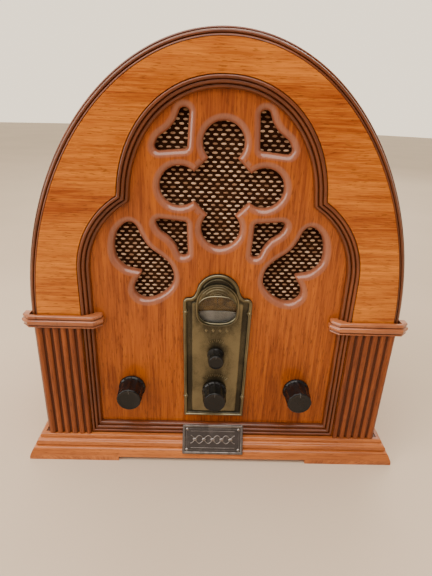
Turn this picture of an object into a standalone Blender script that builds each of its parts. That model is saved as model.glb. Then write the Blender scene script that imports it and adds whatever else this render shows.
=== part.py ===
"""Cathedral table radio, built as the pieces it comes apart into.

World frame: metres, +X to the right, the front faces -Y, +Z up. The origin is on the table
under the middle of the radio. All dimensions below are in millimetres and MM turns them into
metres when a mesh is made.

Most pieces are flat or turned about an axis square to the front, so they are drawn in the
front frame: (across, height, out), where out = 0 is the face of the fretted front panel and
out grows towards the listener. The empty "front_frame_origin" carries that frame.
"""
import math

import bmesh
import bpy
from mathutils import Matrix, Vector

MM = 0.001
GAP = 0.3                      # clearance between touching pieces

# ---- driving dimensions, millimetres ---------------------------------------------------
HALF_WIDTH = 157.5             # cabinet body, half width
SPRING_Z = 138.0               # height where the sides start to curve in
ARCH_RISE = 223.0              # from there to the top of the arch
ARCH_STEPS = 40
FLOOR_Z = 21.6                 # top of the base board, where everything stands
FRAME_OUT = 7.4                # face of the front frame
FOREMOST_OUT = 21.5            # faces of the knobs
BACK_OUT = -193.5              # back edge of the base board
CENTRE_OUT = (FOREMOST_OUT + BACK_OUT) / 2
EDGE_WIDTH = 6.5               # bead moulding round the arch, seen from the front
PANEL_THICK = 8.0

OPENING_HALF = 114.4           # opening in the front frame
OPENING_FOOT_Z = 22.3
SHOULDER_X, SHOULDER_Z, SHOULDER_R = 38.6, 183.0, 75.8
CROWN_Z, CROWN_HALF, CROWN_RISE, CROWN_POWER = 240.0, 79.85, 91.75, 2.1
CUSP_ANGLE = math.radians(57.0)
RING_WIDTH = 9.0               # triple bead inside the opening

ROSE_Z = 253.5                 # centre of the four-lobed grille opening
LOBE_OFFSET, LOBE_R = 32.8, 15.5

KNOB_X, KNOB_Z, KNOB_R = 75.7, 70.0, 12.1
TUNING_Z, TUNING_R = 69.0, 11.2
TONE_Z, TONE_R = 107.5, 7.6
SHAFT_R, BUSH_R = 3.0, 4.8
SHAFT_HOLE_R = 5.1

DIAL_Z = 151.0                 # centre of the dial window and of the dial drum
WINDOW_HALF, WINDOW_RISE, WINDOW_POWER = 16.2, 12.4, 2.6
DIAL_HOLE_R = 19.0
DRUM_R, DRUM_GROOVE_R, PULLEY_R = 30.0, 28.0, 4.0
CORD_OUT, CORD_R = -17.0, 0.4

BRACKET_OUT = -22.0            # front of the sheet bracket that carries the controls
BRACKET_THICK = 1.2
LEG_SPOTS = [(x, z) for x in (-50.0, 50.0) for z in (52.0, 120.0)]

SPEAKER_Z = 250.0
BAFFLE_OUT, BAFFLE_THICK = -9.4, 6.0
SPEAKER_HOLE_R, FLANGE_R = 50.0, 60.0

BACK_PANEL_OUT, BACK_PANEL_THICK = -186.0, 3.2
INLET_X, INLET_Z = 100.0, 50.0


# ---- scene, materials ------------------------------------------------------------------
def clear_scene():
    for item in list(bpy.data.objects):
        bpy.data.objects.remove(item)


def collection(name):
    group = bpy.data.collections.new(name)
    bpy.context.scene.collection.children.link(group)
    return group


def material(name, colour, roughness, metallic=0.0, alpha=1.0):
    mat = bpy.data.materials.new(name)
    mat.use_nodes = True
    shader = mat.node_tree.nodes["Principled BSDF"]
    shader.inputs["Base Color"].default_value = (*colour, 1.0)
    shader.inputs["Roughness"].default_value = roughness
    shader.inputs["Metallic"].default_value = metallic
    shader.inputs["Alpha"].default_value = alpha
    return mat


clear_scene()
PARTS = collection("cathedral_radio")
CUTTERS = collection("cutters")

ORANGE_WOOD = material("orange_veneer", (0.52, 0.19, 0.05), 0.38)
RED_WOOD = material("red_brown_veneer", (0.40, 0.12, 0.03), 0.38)
DARK_WOOD = material("dark_stained_wood", (0.13, 0.045, 0.02), 0.35)
BROWN_WOOD = material("brown_wood", (0.30, 0.11, 0.05), 0.40)
RAW_WOOD = material("raw_wood", (0.55, 0.40, 0.25), 0.70)
HARDBOARD = material("hardboard", (0.22, 0.13, 0.08), 0.80)
CLOTH = material("grille_cloth", (0.06, 0.035, 0.025), 0.90)
OLD_BRASS = material("antique_brass", (0.22, 0.18, 0.08), 0.42, 1.0)
PEWTER = material("dark_pewter", (0.12, 0.11, 0.11), 0.45, 1.0)
BLACK_PLASTIC = material("black_plastic", (0.012, 0.012, 0.012), 0.22)
STEEL = material("plated_steel", (0.55, 0.55, 0.53), 0.35, 1.0)
BLACK_STEEL = material("black_steel", (0.05, 0.05, 0.05), 0.50, 1.0)
ALUMINIUM = material("aluminium", (0.75, 0.75, 0.76), 0.35, 1.0)
FERRITE = material("ferrite", (0.10, 0.10, 0.11), 0.60)
PAPER = material("cone_paper", (0.10, 0.09, 0.08), 0.90)
AMBER = material("amber_dial", (0.75, 0.38, 0.10), 0.50)
CLEAR = material("clear_lens", (0.95, 0.95, 0.92), 0.05, 0.0, 0.3)
GREEN_BOARD = material("green_board", (0.06, 0.20, 0.09), 0.50)
COPPER = material("varnished_copper", (0.45, 0.18, 0.08), 0.40, 0.6)
FELT = material("dark_felt", (0.06, 0.05, 0.05), 0.95)

FRONT = bpy.data.objects.new("front_frame_origin", None)
FRONT.location = (0.0, CENTRE_OUT * MM, 0.0)
FRONT.rotation_euler = (math.pi / 2, 0.0, 0.0)
PARTS.objects.link(FRONT)


def world_y(out):
    """World Y, still in millimetres, of a plane of the front frame."""
    return CENTRE_OUT - out


# ---- mesh tools ------------------------------------------------------------------------
def place(name, bm, mat, at=(0.0, 0.0, 0.0), parent=FRONT, group=None):
    """Turn a bmesh drawn in millimetres into a named object with its origin at `at`."""
    bmesh.ops.recalc_face_normals(bm, faces=bm.faces)
    bmesh.ops.scale(bm, vec=(MM, MM, MM), verts=bm.verts)
    mesh = bpy.data.meshes.new(name)
    bm.to_mesh(mesh)
    bm.free()
    mesh.shade_smooth()
    mesh.set_sharp_from_angle(angle=math.radians(35.0))
    mesh.materials.append(mat)
    item = bpy.data.objects.new(name, mesh)
    item.parent = parent
    item.location = [value * MM for value in at]
    (group or PARTS).objects.link(item)
    return item


def shape_with(item, operation, bm, solver="EXACT"):
    """Cut `item` with, or join to it, a bmesh drawn in the same local frame."""
    tool = place(item.name + "_" + operation.lower(), bm, item.data.materials[0],
                 parent=item.parent, group=CUTTERS)
    tool.location = item.location
    tool.hide_render = True
    tool.display_type = "WIRE"
    modifier = item.modifiers.new(operation.title(), "BOOLEAN")
    modifier.operation = operation
    modifier.object = tool
    modifier.solver = solver


def box(low, high):
    low, high = Vector(low), Vector(high)
    bm = bmesh.new()
    scale = Matrix.Diagonal((*(high - low), 1.0))
    bmesh.ops.create_cube(bm, size=1.0, matrix=Matrix.Translation((low + high) / 2) @ scale)
    return bm


def rod(radius, low, high, at=(0.0, 0.0), sides=24):
    """Cylinder along the third axis."""
    bm = bmesh.new()
    centre = Matrix.Translation((at[0], at[1], (low + high) / 2))
    bmesh.ops.create_cone(bm, cap_ends=True, segments=sides, radius1=radius, radius2=radius,
                          depth=high - low, matrix=centre)
    return bm


def join(*solids):
    """Several bmeshes in one, for a cutter or for pieces that a union joins."""
    group = bmesh.new()
    for bm in solids:
        part = bpy.data.meshes.new("part")
        bm.to_mesh(part)
        bm.free()
        group.from_mesh(part)
        bpy.data.meshes.remove(part)
    return group


def evaluated(item):
    """Weld the evaluated mesh of a temporary object into a bmesh and remove the object."""
    bpy.context.scene.collection.objects.link(item)
    mesh = bpy.data.meshes.new_from_object(
        item.evaluated_get(bpy.context.evaluated_depsgraph_get()))
    bm = bmesh.new()
    bm.from_mesh(mesh)
    bmesh.ops.remove_doubles(bm, verts=bm.verts, dist=0.005)
    bpy.data.meshes.remove(mesh)
    bpy.data.objects.remove(item)
    return bm


def board(outlines, low, high):
    """Flat piece between two levels; the first outline is the edge, the others are holes."""
    curve = bpy.data.curves.new("outline", "CURVE")
    curve.dimensions = "2D"
    curve.fill_mode = "BOTH"
    curve.extrude = (high - low) / 2
    for outline in outlines:
        spline = curve.splines.new("POLY")
        spline.points.add(len(outline) - 1)
        for point, (x, y) in zip(spline.points, outline):
            point.co = (x, y, 0.0, 1.0)
        spline.use_cyclic_u = True
    bm = evaluated(bpy.data.objects.new("outline", curve))
    bmesh.ops.translate(bm, vec=(0.0, 0.0, (low + high) / 2), verts=bm.verts)
    return bm


def turned(profile, steps=32, ring=False):
    """Turn (radius, height) points about the third axis. The profile starts at the top and
    runs down the outer side; a ring's profile closes on itself."""
    mesh = bpy.data.meshes.new("profile")
    count = len(profile)
    edges = [(i, (i + 1) % count) for i in range(count if ring else count - 1)]
    mesh.from_pydata([(radius, 0.0, height) for radius, height in profile], edges, [])
    item = bpy.data.objects.new("profile", mesh)
    screw = item.modifiers.new("Screw", "SCREW")
    screw.steps = screw.render_steps = steps
    screw.use_merge_vertices = True
    screw.merge_threshold = 0.0001
    return evaluated(item)


def loft(rings, closed=False):
    """Skin a row of equal rings; the ends are capped, or joined to each other if closed."""
    bm = bmesh.new()
    rows = [[bm.verts.new(point) for point in ring] for ring in rings]
    pairs = list(zip(rows, rows[1:]))
    if closed:
        pairs.append((rows[-1], rows[0]))
    else:
        bm.faces.new(rows[0])
        bm.faces.new(list(reversed(rows[-1])))
    for one, two in pairs:
        for i in range(len(one)):
            j = (i + 1) % len(one)
            bm.faces.new((one[i], two[i], two[j], one[j]))
    return bm


def mitres(path, closed):
    """At each point, the step that moves the path one unit to its left."""
    count = len(path)
    steps = []
    for i in range(count):
        normals = []
        for j in (i - 1, i):
            if not closed and (j < 0 or j == count - 1):
                continue
            start, end = Vector(path[j % count]), Vector(path[(j + 1) % count])
            along = (end - start).normalized()
            normals.append(Vector((-along.y, along.x)))
        first, last = normals[0], normals[-1]
        steps.append((first + last) / (1.0 + first.dot(last)))
    return steps


def offset(path, distance, closed=True):
    """The path moved to its left by a distance, corners mitred."""
    return [tuple(Vector(point) + step * distance)
            for point, step in zip(path, mitres(path, closed))]


def moulding(path, profile, closed):
    """Sweep (left, height) profile points along a path, mitred at each point."""
    rings = [[(point[0] + step.x * left, point[1] + step.y * left, height)
              for left, height in profile]
             for point, step in zip(path, mitres(path, closed))]
    return loft(rings, closed)


# ---- outlines, (across, height) --------------------------------------------------------
def arc(x, y, radius, start, end, steps):
    """Points of an arc, angles in degrees."""
    angles = [math.radians(start + (end - start) * i / steps) for i in range(steps + 1)]
    return [(x + radius * math.cos(a), y + radius * math.sin(a)) for a in angles]


def circle(x, y, radius, sides=24):
    return arc(x, y, radius, 0.0, 360.0, sides)[:-1]


def superellipse(x, y, half, rise, power, start, end, steps):
    """Points of a superellipse between two polar angles in degrees."""
    points = []
    for i in range(steps + 1):
        a = math.radians(start + (end - start) * i / steps)
        c, s = math.cos(a), math.sin(a)
        reach = (abs(c / half) ** power + abs(s / rise) ** power) ** (-1.0 / power)
        points.append((x + reach * c, y + reach * s))
    return points


def rounded(corners, radii, steps=4):
    """Polygon with its corners rounded, each to its own radius."""
    points = []
    count = len(corners)
    for i, radius in enumerate(radii):
        corner = Vector(corners[i])
        before = (Vector(corners[i - 1]) - corner).normalized()
        after = (Vector(corners[(i + 1) % count]) - corner).normalized()
        if radius == 0.0:
            points.append(tuple(corner))
            continue
        half_angle = before.angle(after) / 2
        centre = corner + (before + after).normalized() * radius / math.sin(half_angle)
        reach = radius / math.tan(half_angle)
        start, end = corner + before * reach - centre, corner + after * reach - centre
        for k in range(steps + 1):
            spoke = start.slerp(end, k / steps).normalized() * radius
            points.append(tuple(centre + spoke))
    return points


def rectangle(x0, y0, x1, y1):
    return [(x0, y0), (x1, y0), (x1, y1), (x0, y1)]


def mirrored(outline):
    return [(-x, y) for x, y in reversed(outline)]


def arch(foot=FLOOR_Z):
    """Outside of the cabinet, from the right foot over the top to the left foot."""
    points = [(HALF_WIDTH, foot)]
    for i in range(ARCH_STEPS + 1):
        t = math.pi * i / ARCH_STEPS
        points.append((HALF_WIDTH * math.cos(t), SPRING_Z + ARCH_RISE * math.sin(t)))
    points.append((-HALF_WIDTH, foot))
    return points


def inner_arch(inset):
    return offset(arch(), inset, closed=False)


def opening():
    """Edge of the frame's opening, counter-clockwise: a shouldered arch."""
    cusp = math.degrees(CUSP_ANGLE)
    right = [(OPENING_HALF, OPENING_FOOT_Z)]
    right += arc(SHOULDER_X, SHOULDER_Z, SHOULDER_R, 0.0, cusp, 7)
    crown_start = math.degrees(math.atan2(right[-1][1] - CROWN_Z, right[-1][0]))
    crown = superellipse(0.0, CROWN_Z, CROWN_HALF, CROWN_RISE, CROWN_POWER,
                         crown_start, 180.0 - crown_start, 24)[1:-1]
    return right + crown + mirrored(right)


def rose():
    """Four round lobes joined by short diagonals."""
    points = []
    for quarter in range(4):
        turn = math.radians(90.0 * quarter)
        x, y = LOBE_OFFSET * math.cos(turn), LOBE_OFFSET * math.sin(turn)
        points += arc(x, ROSE_Z + y, LOBE_R, 90.0 * quarter - 135.0, 90.0 * quarter + 135.0, 14)
    return points


def ear(side, up):
    """Three-cornered opening between two lobes, its long side facing the arch."""
    corners = [(27.4, 27.9), (53.5, 25.4), (49.0, 35.4), (40.5, 41.4), (35.8, 47.4),
               (32.2, 56.2), (25.9, 56.2)]
    points = rounded(corners, [2.0, 3.2, 0.0, 0.0, 0.0, 3.0, 3.0], 3)
    return [(side * x, ROSE_Z + up * y) for x, y in points]


def kidney(side):
    """Kidney-shaped opening beside the dial."""
    points = [(71.8, 224.2), (67.2, 221.0), (64.4, 214.5), (58.0, 204.3), (48.5, 197.0),
              (41.2, 190.0), (37.8, 181.5), (38.2, 174.0), (42.6, 166.8), (49.7, 161.0),
              (56.3, 158.2), (62.5, 157.9), (67.6, 160.3), (70.6, 165.4), (69.4, 172.0),
              (65.2, 179.4), (64.5, 182.5), (69.3, 183.9), (75.5, 185.2), (81.2, 189.5),
              (84.9, 196.0), (85.4, 206.0), (82.8, 215.8), (77.6, 222.2)]
    return [(side * x, y) for x, y in points]


def plate_outline():
    """Dial escutcheon, counter-clockwise: a tall plate, shoulders and a round head."""
    right = rounded([(0.0, 40.5), (27.6, 40.5), (29.5, 161.8), (22.4, 162.2)],
                    [0.0, 0.0, 4.6, 0.0])[1:]
    right += [(19.9, 164.2), (18.7, 167.2)]
    head = arc(0.0, 165.3, 18.5, 8.0, 172.0, 16)
    return right + head + mirrored(right)


def window_outline():
    return superellipse(0.0, DIAL_Z, WINDOW_HALF, WINDOW_RISE, WINDOW_POWER, 0.0, 360.0, 28)[:-1]


# ---- cabinet ---------------------------------------------------------------------------
def make_cabinet():
    shell = [(0.0, -4.9), (EDGE_WIDTH, -4.9), (EDGE_WIDTH, -192.0), (0.0, -192.0)]
    place("cabinet_shell", moulding(arch(), shell, closed=False), BROWN_WOOD)

    beads = [(0.0, -4.6), (0.0, 1.0), (0.7, 2.4), (1.9, 2.6), (2.3, 5.2), (3.3, 6.6),
             (4.4, 6.5), (4.9, 5.6), (5.6, 7.2), (EDGE_WIDTH, FRAME_OUT), (EDGE_WIDTH, -4.6)]
    place("arch_moulding", moulding(arch(), beads, closed=False), DARK_WOOD)

    edge = inner_arch(EDGE_WIDTH + GAP)
    place("front_frame", board([edge, offset(opening(), -GAP)], GAP, FRAME_OUT), ORANGE_WOOD)

    ring = [(0.0, GAP), (0.0, 7.0), (0.7, 7.8), (2.4, 7.5), (3.0, 5.8), (3.9, 6.0),
            (5.4, 5.0), (6.0, 3.5), (6.9, 3.6), (8.4, 2.4), (RING_WIDTH, GAP)]
    place("inner_moulding", moulding(opening(), ring, closed=True), DARK_WOOD)

    strip = [(EDGE_WIDTH + GAP, -176.0), (EDGE_WIDTH + GAP, -185.7), (17.0, -185.7),
             (17.0, -176.0)]
    place("back_cleat", moulding(arch()[::2], strip, closed=False), RAW_WOOD)


def make_front_panel():
    holes = [rose(), circle(0.0, DIAL_Z, DIAL_HOLE_R, 32)]
    for side in (-1, 1):
        holes += [kidney(side), ear(side, 1), ear(side, -1)]
        holes.append(circle(side * KNOB_X, KNOB_Z, SHAFT_HOLE_R, 16))
    holes += [circle(0.0, z, SHAFT_HOLE_R, 16) for z in (TUNING_Z, TONE_Z)]
    edge = inner_arch(EDGE_WIDTH + GAP)
    place("front_panel", board([edge] + holes, -PANEL_THICK, 0.0), RED_WOOD)


def grille_outline(inset):
    """Cloth and baffle: the crown of the arch, notched over the dial drum."""
    top = [point for point in inner_arch(inset) if point[1] > 150.0]
    return top + [(top[-1][0], 150.0), (-34.0, 150.0), (-34.0, 184.5), (34.0, 184.5),
                  (34.0, 150.0), (top[0][0], 150.0)]


def make_grille():
    place("grille_cloth", board([grille_outline(14.0)], -9.1, -8.3), CLOTH)
    hole = circle(0.0, SPEAKER_Z, SPEAKER_HOLE_R, 40)
    place("baffle_board", board([grille_outline(12.0), hole],
                                BAFFLE_OUT - BAFFLE_THICK, BAFFLE_OUT), HARDBOARD)


def make_pilasters():
    first_groove, pitch, crest = 120.0, 6.75, 10.6
    front = []
    for k in range(5):
        x = first_groove + pitch * k
        front += [(x - 1.1, crest), (x - 0.5, 9.2), (x, 8.8), (x + 0.5, 9.2), (x + 1.1, crest)]
    plan = [(114.8, FRAME_OUT + GAP), (114.8, crest - 0.7), (115.5, crest)] + front
    plan += [(152.7, crest), (153.4, crest - 0.7), (153.4, FRAME_OUT + GAP)]
    plan = [(x, world_y(out)) for x, out in plan]
    for name, outline in (("right_pilaster", plan), ("left_pilaster", mirrored(plan))):
        place(name, board([outline], OPENING_FOOT_Z, 134.6), BROWN_WOOD, parent=None)


def make_capitals():
    """Half-octagonal blocks; each level is the plan drawn in by the profile's inset."""
    low, high, depth, chamfer = 96.6, 165.2, 12.6, 7.0
    levels = [(1.8, 135.0), (1.8, 136.0), (0.6, 136.8), (0.0, 138.6), (0.0, 140.2), (1.0, 141.8),
              (2.2, 142.4), (1.4, 143.2), (1.4, 144.6), (2.4, 145.6)]
    back = [(157.8, GAP), (157.8, 8.2), (113.0, 8.2), (104.6, 2.6), (104.6, GAP)]
    for name, side in (("right_capital", 1), ("left_capital", -1)):
        rings = []
        for inset, z in levels:
            slope = inset * math.tan(math.radians(22.5))
            front = [(low + inset, GAP), (low + inset, depth - chamfer - slope),
                     (low + chamfer + slope, depth - inset),
                     (high - chamfer - slope, depth - inset),
                     (high - inset, depth - chamfer - slope), (high - inset, GAP)]
            rings.append([(side * x, world_y(out), z) for x, out in front + back])
        place(name, loft(rings), BROWN_WOOD, parent=None)


def make_base():
    place("base_board", box((-HALF_WIDTH, world_y(FRAME_OUT), 9.0),
                            (HALF_WIDTH, world_y(BACK_OUT), FLOOR_Z - GAP)), RAW_WOOD,
          parent=None)
    back, front = world_y(BACK_OUT), world_y(FRAME_OUT)
    path = [(HALF_WIDTH, back), (HALF_WIDTH, front), (-HALF_WIDTH, front), (-HALF_WIDTH, back)]
    profile = [(GAP, 22.0), (3.0, 22.0), (4.5, 20.0), (4.4, 17.2), (6.0, 16.5), (7.4, 15.4),
               (8.0, 13.4), (7.2, 11.2), (9.4, 10.6), (10.5, 9.6), (12.2, 6.4), (13.4, 3.0),
               (13.4, 0.0), (GAP, 0.0)]
    base = place("base_moulding", moulding(path, profile, closed=False), BROWN_WOOD, parent=None)
    relief = 4.0
    shape_with(base, "DIFFERENCE", join(
        box((-88.0, front - 30.0, -5.0), (88.0, front - 0.1, relief)),
        box((HALF_WIDTH + 0.1, -62.0, -5.0), (HALF_WIDTH + 30.0, 66.0, relief)),
        box((-HALF_WIDTH - 30.0, -62.0, -5.0), (-HALF_WIDTH - 0.1, 66.0, relief))))

    foot = [(0.0, 8.7), (10.0, 8.7), (11.0, 2.0), (10.0, 0.0), (0.0, 0.0)]
    for depth, y in (("front", -72.0), ("back", 84.0)):
        for side, x in (("left", -136.0), ("right", 136.0)):
            place(f"{depth}_{side}_foot", turned(foot, 20), FELT, at=(x, y, 0.0), parent=None)


# ---- dial and nameplate ----------------------------------------------------------------
def make_escutcheon():
    outline = plate_outline()
    holes = [window_outline(), circle(0.0, TUNING_Z, 5.6, 20), circle(0.0, TONE_Z, 5.6, 20)]
    rim = [(0.0, GAP), (0.0, 2.6), (0.8, 3.7), (2.2, 3.7), (3.2, 2.6), (3.5, GAP)]
    plate = place("dial_escutcheon", board([offset(outline, 3.0)] + holes, 0.4, 2.0), OLD_BRASS)
    shape_with(plate, "UNION", moulding(outline, rim, closed=True), "MANIFOLD")
    lower = superellipse(0.0, DIAL_Z, 17.6, 14.8, WINDOW_POWER, -180.0, 0.0, 14)
    bezel = lower + arc(0.0, DIAL_Z + 5.9, 17.6, 0.0, 180.0, 12)
    bead = [(-0.9, 1.0), (-0.9, 2.7), (0.0, 3.3), (0.9, 2.7), (0.9, 1.0)]
    shape_with(plate, "UNION", moulding(bezel, bead, closed=True), "MANIFOLD")

    place("dial_lens", board([circle(0.0, DIAL_Z, DIAL_HOLE_R - GAP, 32)], -1.3, -0.1), CLEAR)
    lower_part = arc(0.0, DIAL_Z, DIAL_HOLE_R - GAP, 195.0, 345.0, 16)
    place("dial_mask", board([lower_part], -3.4, -2.6), STEEL)


def make_nameplate():
    """A small plate that leans back from the base moulding to the front panel."""
    lean = math.radians(29.4)
    half, tall, thick = 28.5, 27.0, 1.6
    bottom_out, bottom_z = 19.1, 8.2
    rings = []
    for inset, level in ((0.0, 0.0), (0.0, thick), (2.0, thick), (2.5, thick - 0.5)):
        corners = rectangle(-half + inset, inset, half - inset, tall - inset)
        rings.append([(x, y, level) for x, y in corners])
    plate = place("nameplate", loft(rings), PEWTER, parent=None)
    plate.location = (0.0, world_y(bottom_out) * MM, bottom_z * MM)
    plate.rotation_euler = (math.pi / 2 - lean, 0.0, 0.0)


# ---- knobs and controls ----------------------------------------------------------------
def knob(name, x, z, radius, low, high, flutes):
    """Fluted knob with a blind bore; its origin is on its axis."""
    sides = flutes * 3
    bore, bore_end = SHAFT_R + GAP, high - 6.0

    def ring(reach, level, depth=0.0):
        points = []
        for i in range(sides):
            a = 2 * math.pi * i / sides
            r = reach - (depth if i % 3 else 0.0)
            points.append((r * math.cos(a), r * math.sin(a), level))
        return points

    rings = [ring(bore, bore_end), ring(bore, low), ring(radius, low), ring(radius, low + 2.2),
             ring(radius * 0.95, low + 3.0, 0.7), ring(radius * 0.91, high - 1.6, 0.7),
             ring(radius * 0.84, high), ring(radius * 0.76, high),
             ring(radius * 0.74, high - 0.6)]
    place(name, loft(rings), BLACK_PLASTIC, at=(x, z, 0.0))


def shaft(name, x, z, high, low=-31.0, collar=None):
    """Spindle on its own axis; the tuning spindle has a collar that drives the cord."""
    profile = [(0.0, high), (SHAFT_R - 0.4, high), (SHAFT_R, high - 0.4)]
    if collar:
        profile += [(SHAFT_R, collar[1]), (PULLEY_R, collar[1]), (PULLEY_R, collar[0]),
                    (SHAFT_R, collar[0])]
    profile += [(SHAFT_R, low), (0.0, low)]
    place(name, turned(profile, 20), STEEL, at=(x, z, 0.0))


def control_body(name, x, z, radius, depth, mat, bush_front=-14.0):
    """Potentiometer, switch or bearing behind the bracket, with its bush through it."""
    face = BRACKET_OUT - BRACKET_THICK - GAP
    bore = SHAFT_R + GAP
    profile = [(BUSH_R, bush_front), (BUSH_R, face), (radius, face), (radius, face - depth),
               (bore, face - depth), (bore, bush_front)]
    place(name, turned(profile, 24, ring=True), mat, at=(x, z, 0.0))


def make_controls():
    for side, name in ((-1, "volume"), (1, "band")):
        x = side * KNOB_X
        knob(name + "_knob", x, KNOB_Z, KNOB_R, 0.8, FOREMOST_OUT, 12)
        shaft(name + "_shaft", x, KNOB_Z, FOREMOST_OUT - 6.5)
    control_body("volume_control", -KNOB_X, KNOB_Z, 12.0, 9.5, STEEL)
    control_body("band_switch", KNOB_X, KNOB_Z, 13.0, 14.0, HARDBOARD)
    knob("tone_knob", 0.0, TONE_Z, TONE_R, 3.4, 17.0, 10)
    shaft("tone_shaft", 0.0, TONE_Z, 10.5)
    control_body("tone_control", 0.0, TONE_Z, 12.0, 9.5, STEEL)
    knob("tuning_knob", 0.0, TUNING_Z, TUNING_R, 3.4, FOREMOST_OUT, 12)
    shaft("tuning_shaft", 0.0, TUNING_Z, FOREMOST_OUT - 6.5, collar=(-19.0, -14.6))
    control_body("tuning_bearing", 0.0, TUNING_Z, 8.0, 6.0, STEEL, bush_front=-19.3)


def make_bracket():
    edge = [(-92.0, 45.0), (92.0, 45.0), (92.0, 130.0), (30.0, 130.0), (30.0, 178.0),
            (-30.0, 178.0), (-30.0, 130.0), (-92.0, 130.0)]
    control_spots = [(-KNOB_X, KNOB_Z), (KNOB_X, KNOB_Z), (0.0, TONE_Z), (0.0, TUNING_Z),
                     (0.0, DIAL_Z)]
    holes = [circle(x, z, SHAFT_HOLE_R, 16) for x, z in control_spots]
    sheet = board([edge] + holes, BRACKET_OUT - BRACKET_THICK, BRACKET_OUT)
    bracket = place("control_bracket", sheet, STEEL)
    legs = [rod(4.0, BRACKET_OUT - 0.6, -PANEL_THICK - GAP, at=spot, sides=12)
            for spot in LEG_SPOTS]
    shape_with(bracket, "UNION", join(*legs))


def make_dial_drive():
    """Drum, dial face and capacitor rotor turn together; the cord links drum and spindle."""
    bore = SHAFT_R + GAP
    drum = [(6.5, -6.4), (6.5, -15.6), (25.0, -15.6), (25.0, -14.2), (DRUM_R, -14.2),
            (DRUM_R, -15.4), (DRUM_GROOVE_R, -16.0), (DRUM_GROOVE_R, -18.0), (DRUM_R, -18.6),
            (DRUM_R, -19.8), (25.0, -19.8), (25.0, -17.2), (6.5, -17.2), (6.5, -20.5),
            (bore, -20.5), (bore, -6.4)]
    place("dial_drum", turned(drum, 36, ring=True), ALUMINIUM, at=(0.0, DIAL_Z, 0.0))
    face = turned([(0.0, -4.6), (17.8, -4.6), (17.8, -6.0), (0.0, -6.0)], 36)
    place("dial_face", face, AMBER, at=(0.0, DIAL_Z, 0.0))

    spindle = turned([(0.0, -6.6), (SHAFT_R, -6.6), (SHAFT_R, -55.0), (0.0, -55.0)], 20)
    rotor = place("capacitor_rotor", spindle, ALUMINIUM, at=(0.0, DIAL_Z, 0.0))
    half_disc = arc(0.0, 0.0, 20.0, 180.0, 360.0, 14) + arc(0.0, 0.0, 5.0, 0.0, 180.0, 6)
    plates = [board([half_disc], out - 0.8, out) for out in plate_levels()]
    shape_with(rotor, "UNION", join(*plates))

    front, back, wall = -23.5, -53.4, 1.2
    sides = [(front, 129.0), (back, 129.0), (back, 169.0), (back + wall, 169.0),
             (back + wall, 129.0 + wall), (front - wall, 129.0 + wall), (front - wall, 169.0),
             (front, 169.0)]
    frame = place("capacitor_frame", upright_board(sides, -19.0, 19.0), STEEL)
    shape_with(frame, "DIFFERENCE", rod(bore + 0.2, -60.0, -20.0, at=(0.0, DIAL_Z), sides=20))

    place("capacitor_stator", stator_comb(), ALUMINIUM, parent=None)

    big, small = DRUM_GROOVE_R + GAP + CORD_R, PULLEY_R + GAP + CORD_R
    slant = math.degrees(math.asin((big - small) / (DIAL_Z - TUNING_Z)))
    loop = arc(0.0, DIAL_Z, big, -slant, 180.0 + slant, 20)
    loop += arc(0.0, TUNING_Z, small, 180.0 + slant, 360.0 - slant, 8)
    section = [(CORD_R * math.cos(a), CORD_OUT + CORD_R * math.sin(a))
               for a in (math.radians(60.0 * k) for k in range(6))]
    place("dial_cord", moulding(loop, section, closed=True), FELT)


def plate_levels():
    """Front faces of the capacitor's rotor plates."""
    return [-31.0 - 4.0 * k for k in range(5)]


def stator_comb():
    """Bar beside the rotor with teeth that reach in between its plates, drawn in plan."""
    bar_in, bar_out, tip, tooth = 20.6, 23.6, -17.0, 0.8
    levels = plate_levels()
    plan = [(bar_out, levels[0] + 1.0), (bar_in, levels[0] + 1.0)]
    for level in levels[:-1]:
        start = level - 2.0
        plan += [(bar_in, start), (tip, start), (tip, start - tooth), (bar_in, start - tooth)]
    plan += [(bar_in, levels[-1] - 1.8), (bar_out, levels[-1] - 1.8)]
    return board([[(x, world_y(out)) for x, out in plan]], DIAL_Z - 19.5, DIAL_Z - 5.5)


def upright_board(outline, low, high):
    """A piece drawn in side view as (out, height), reaching across from low to high."""
    bm = board([outline], low, high)
    bmesh.ops.transform(bm, matrix=Matrix(((0, 0, 1, 0), (0, 1, 0, 0), (1, 0, 0, 0),
                                           (0, 0, 0, 1))), verts=bm.verts)
    return bm


def make_lamp():
    """Lamp beside the window, in the space between the panel and the drum."""
    lamp_z, out = 137.5, -11.6
    bulb = turned([(0.0, 7.0), (1.6, 6.6), (2.6, 5.0), (2.6, 1.0), (2.2, 0.0), (0.0, 0.0)], 14)
    item = place("dial_lamp", bulb, CLEAR, at=(31.0, lamp_z, out))
    item.rotation_euler = (0.0, -math.pi / 2, 0.0)
    place("lamp_holder", box((31.3, lamp_z - 5.0, out - 3.0), (41.0, lamp_z + 5.0, -8.3)), STEEL)


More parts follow.
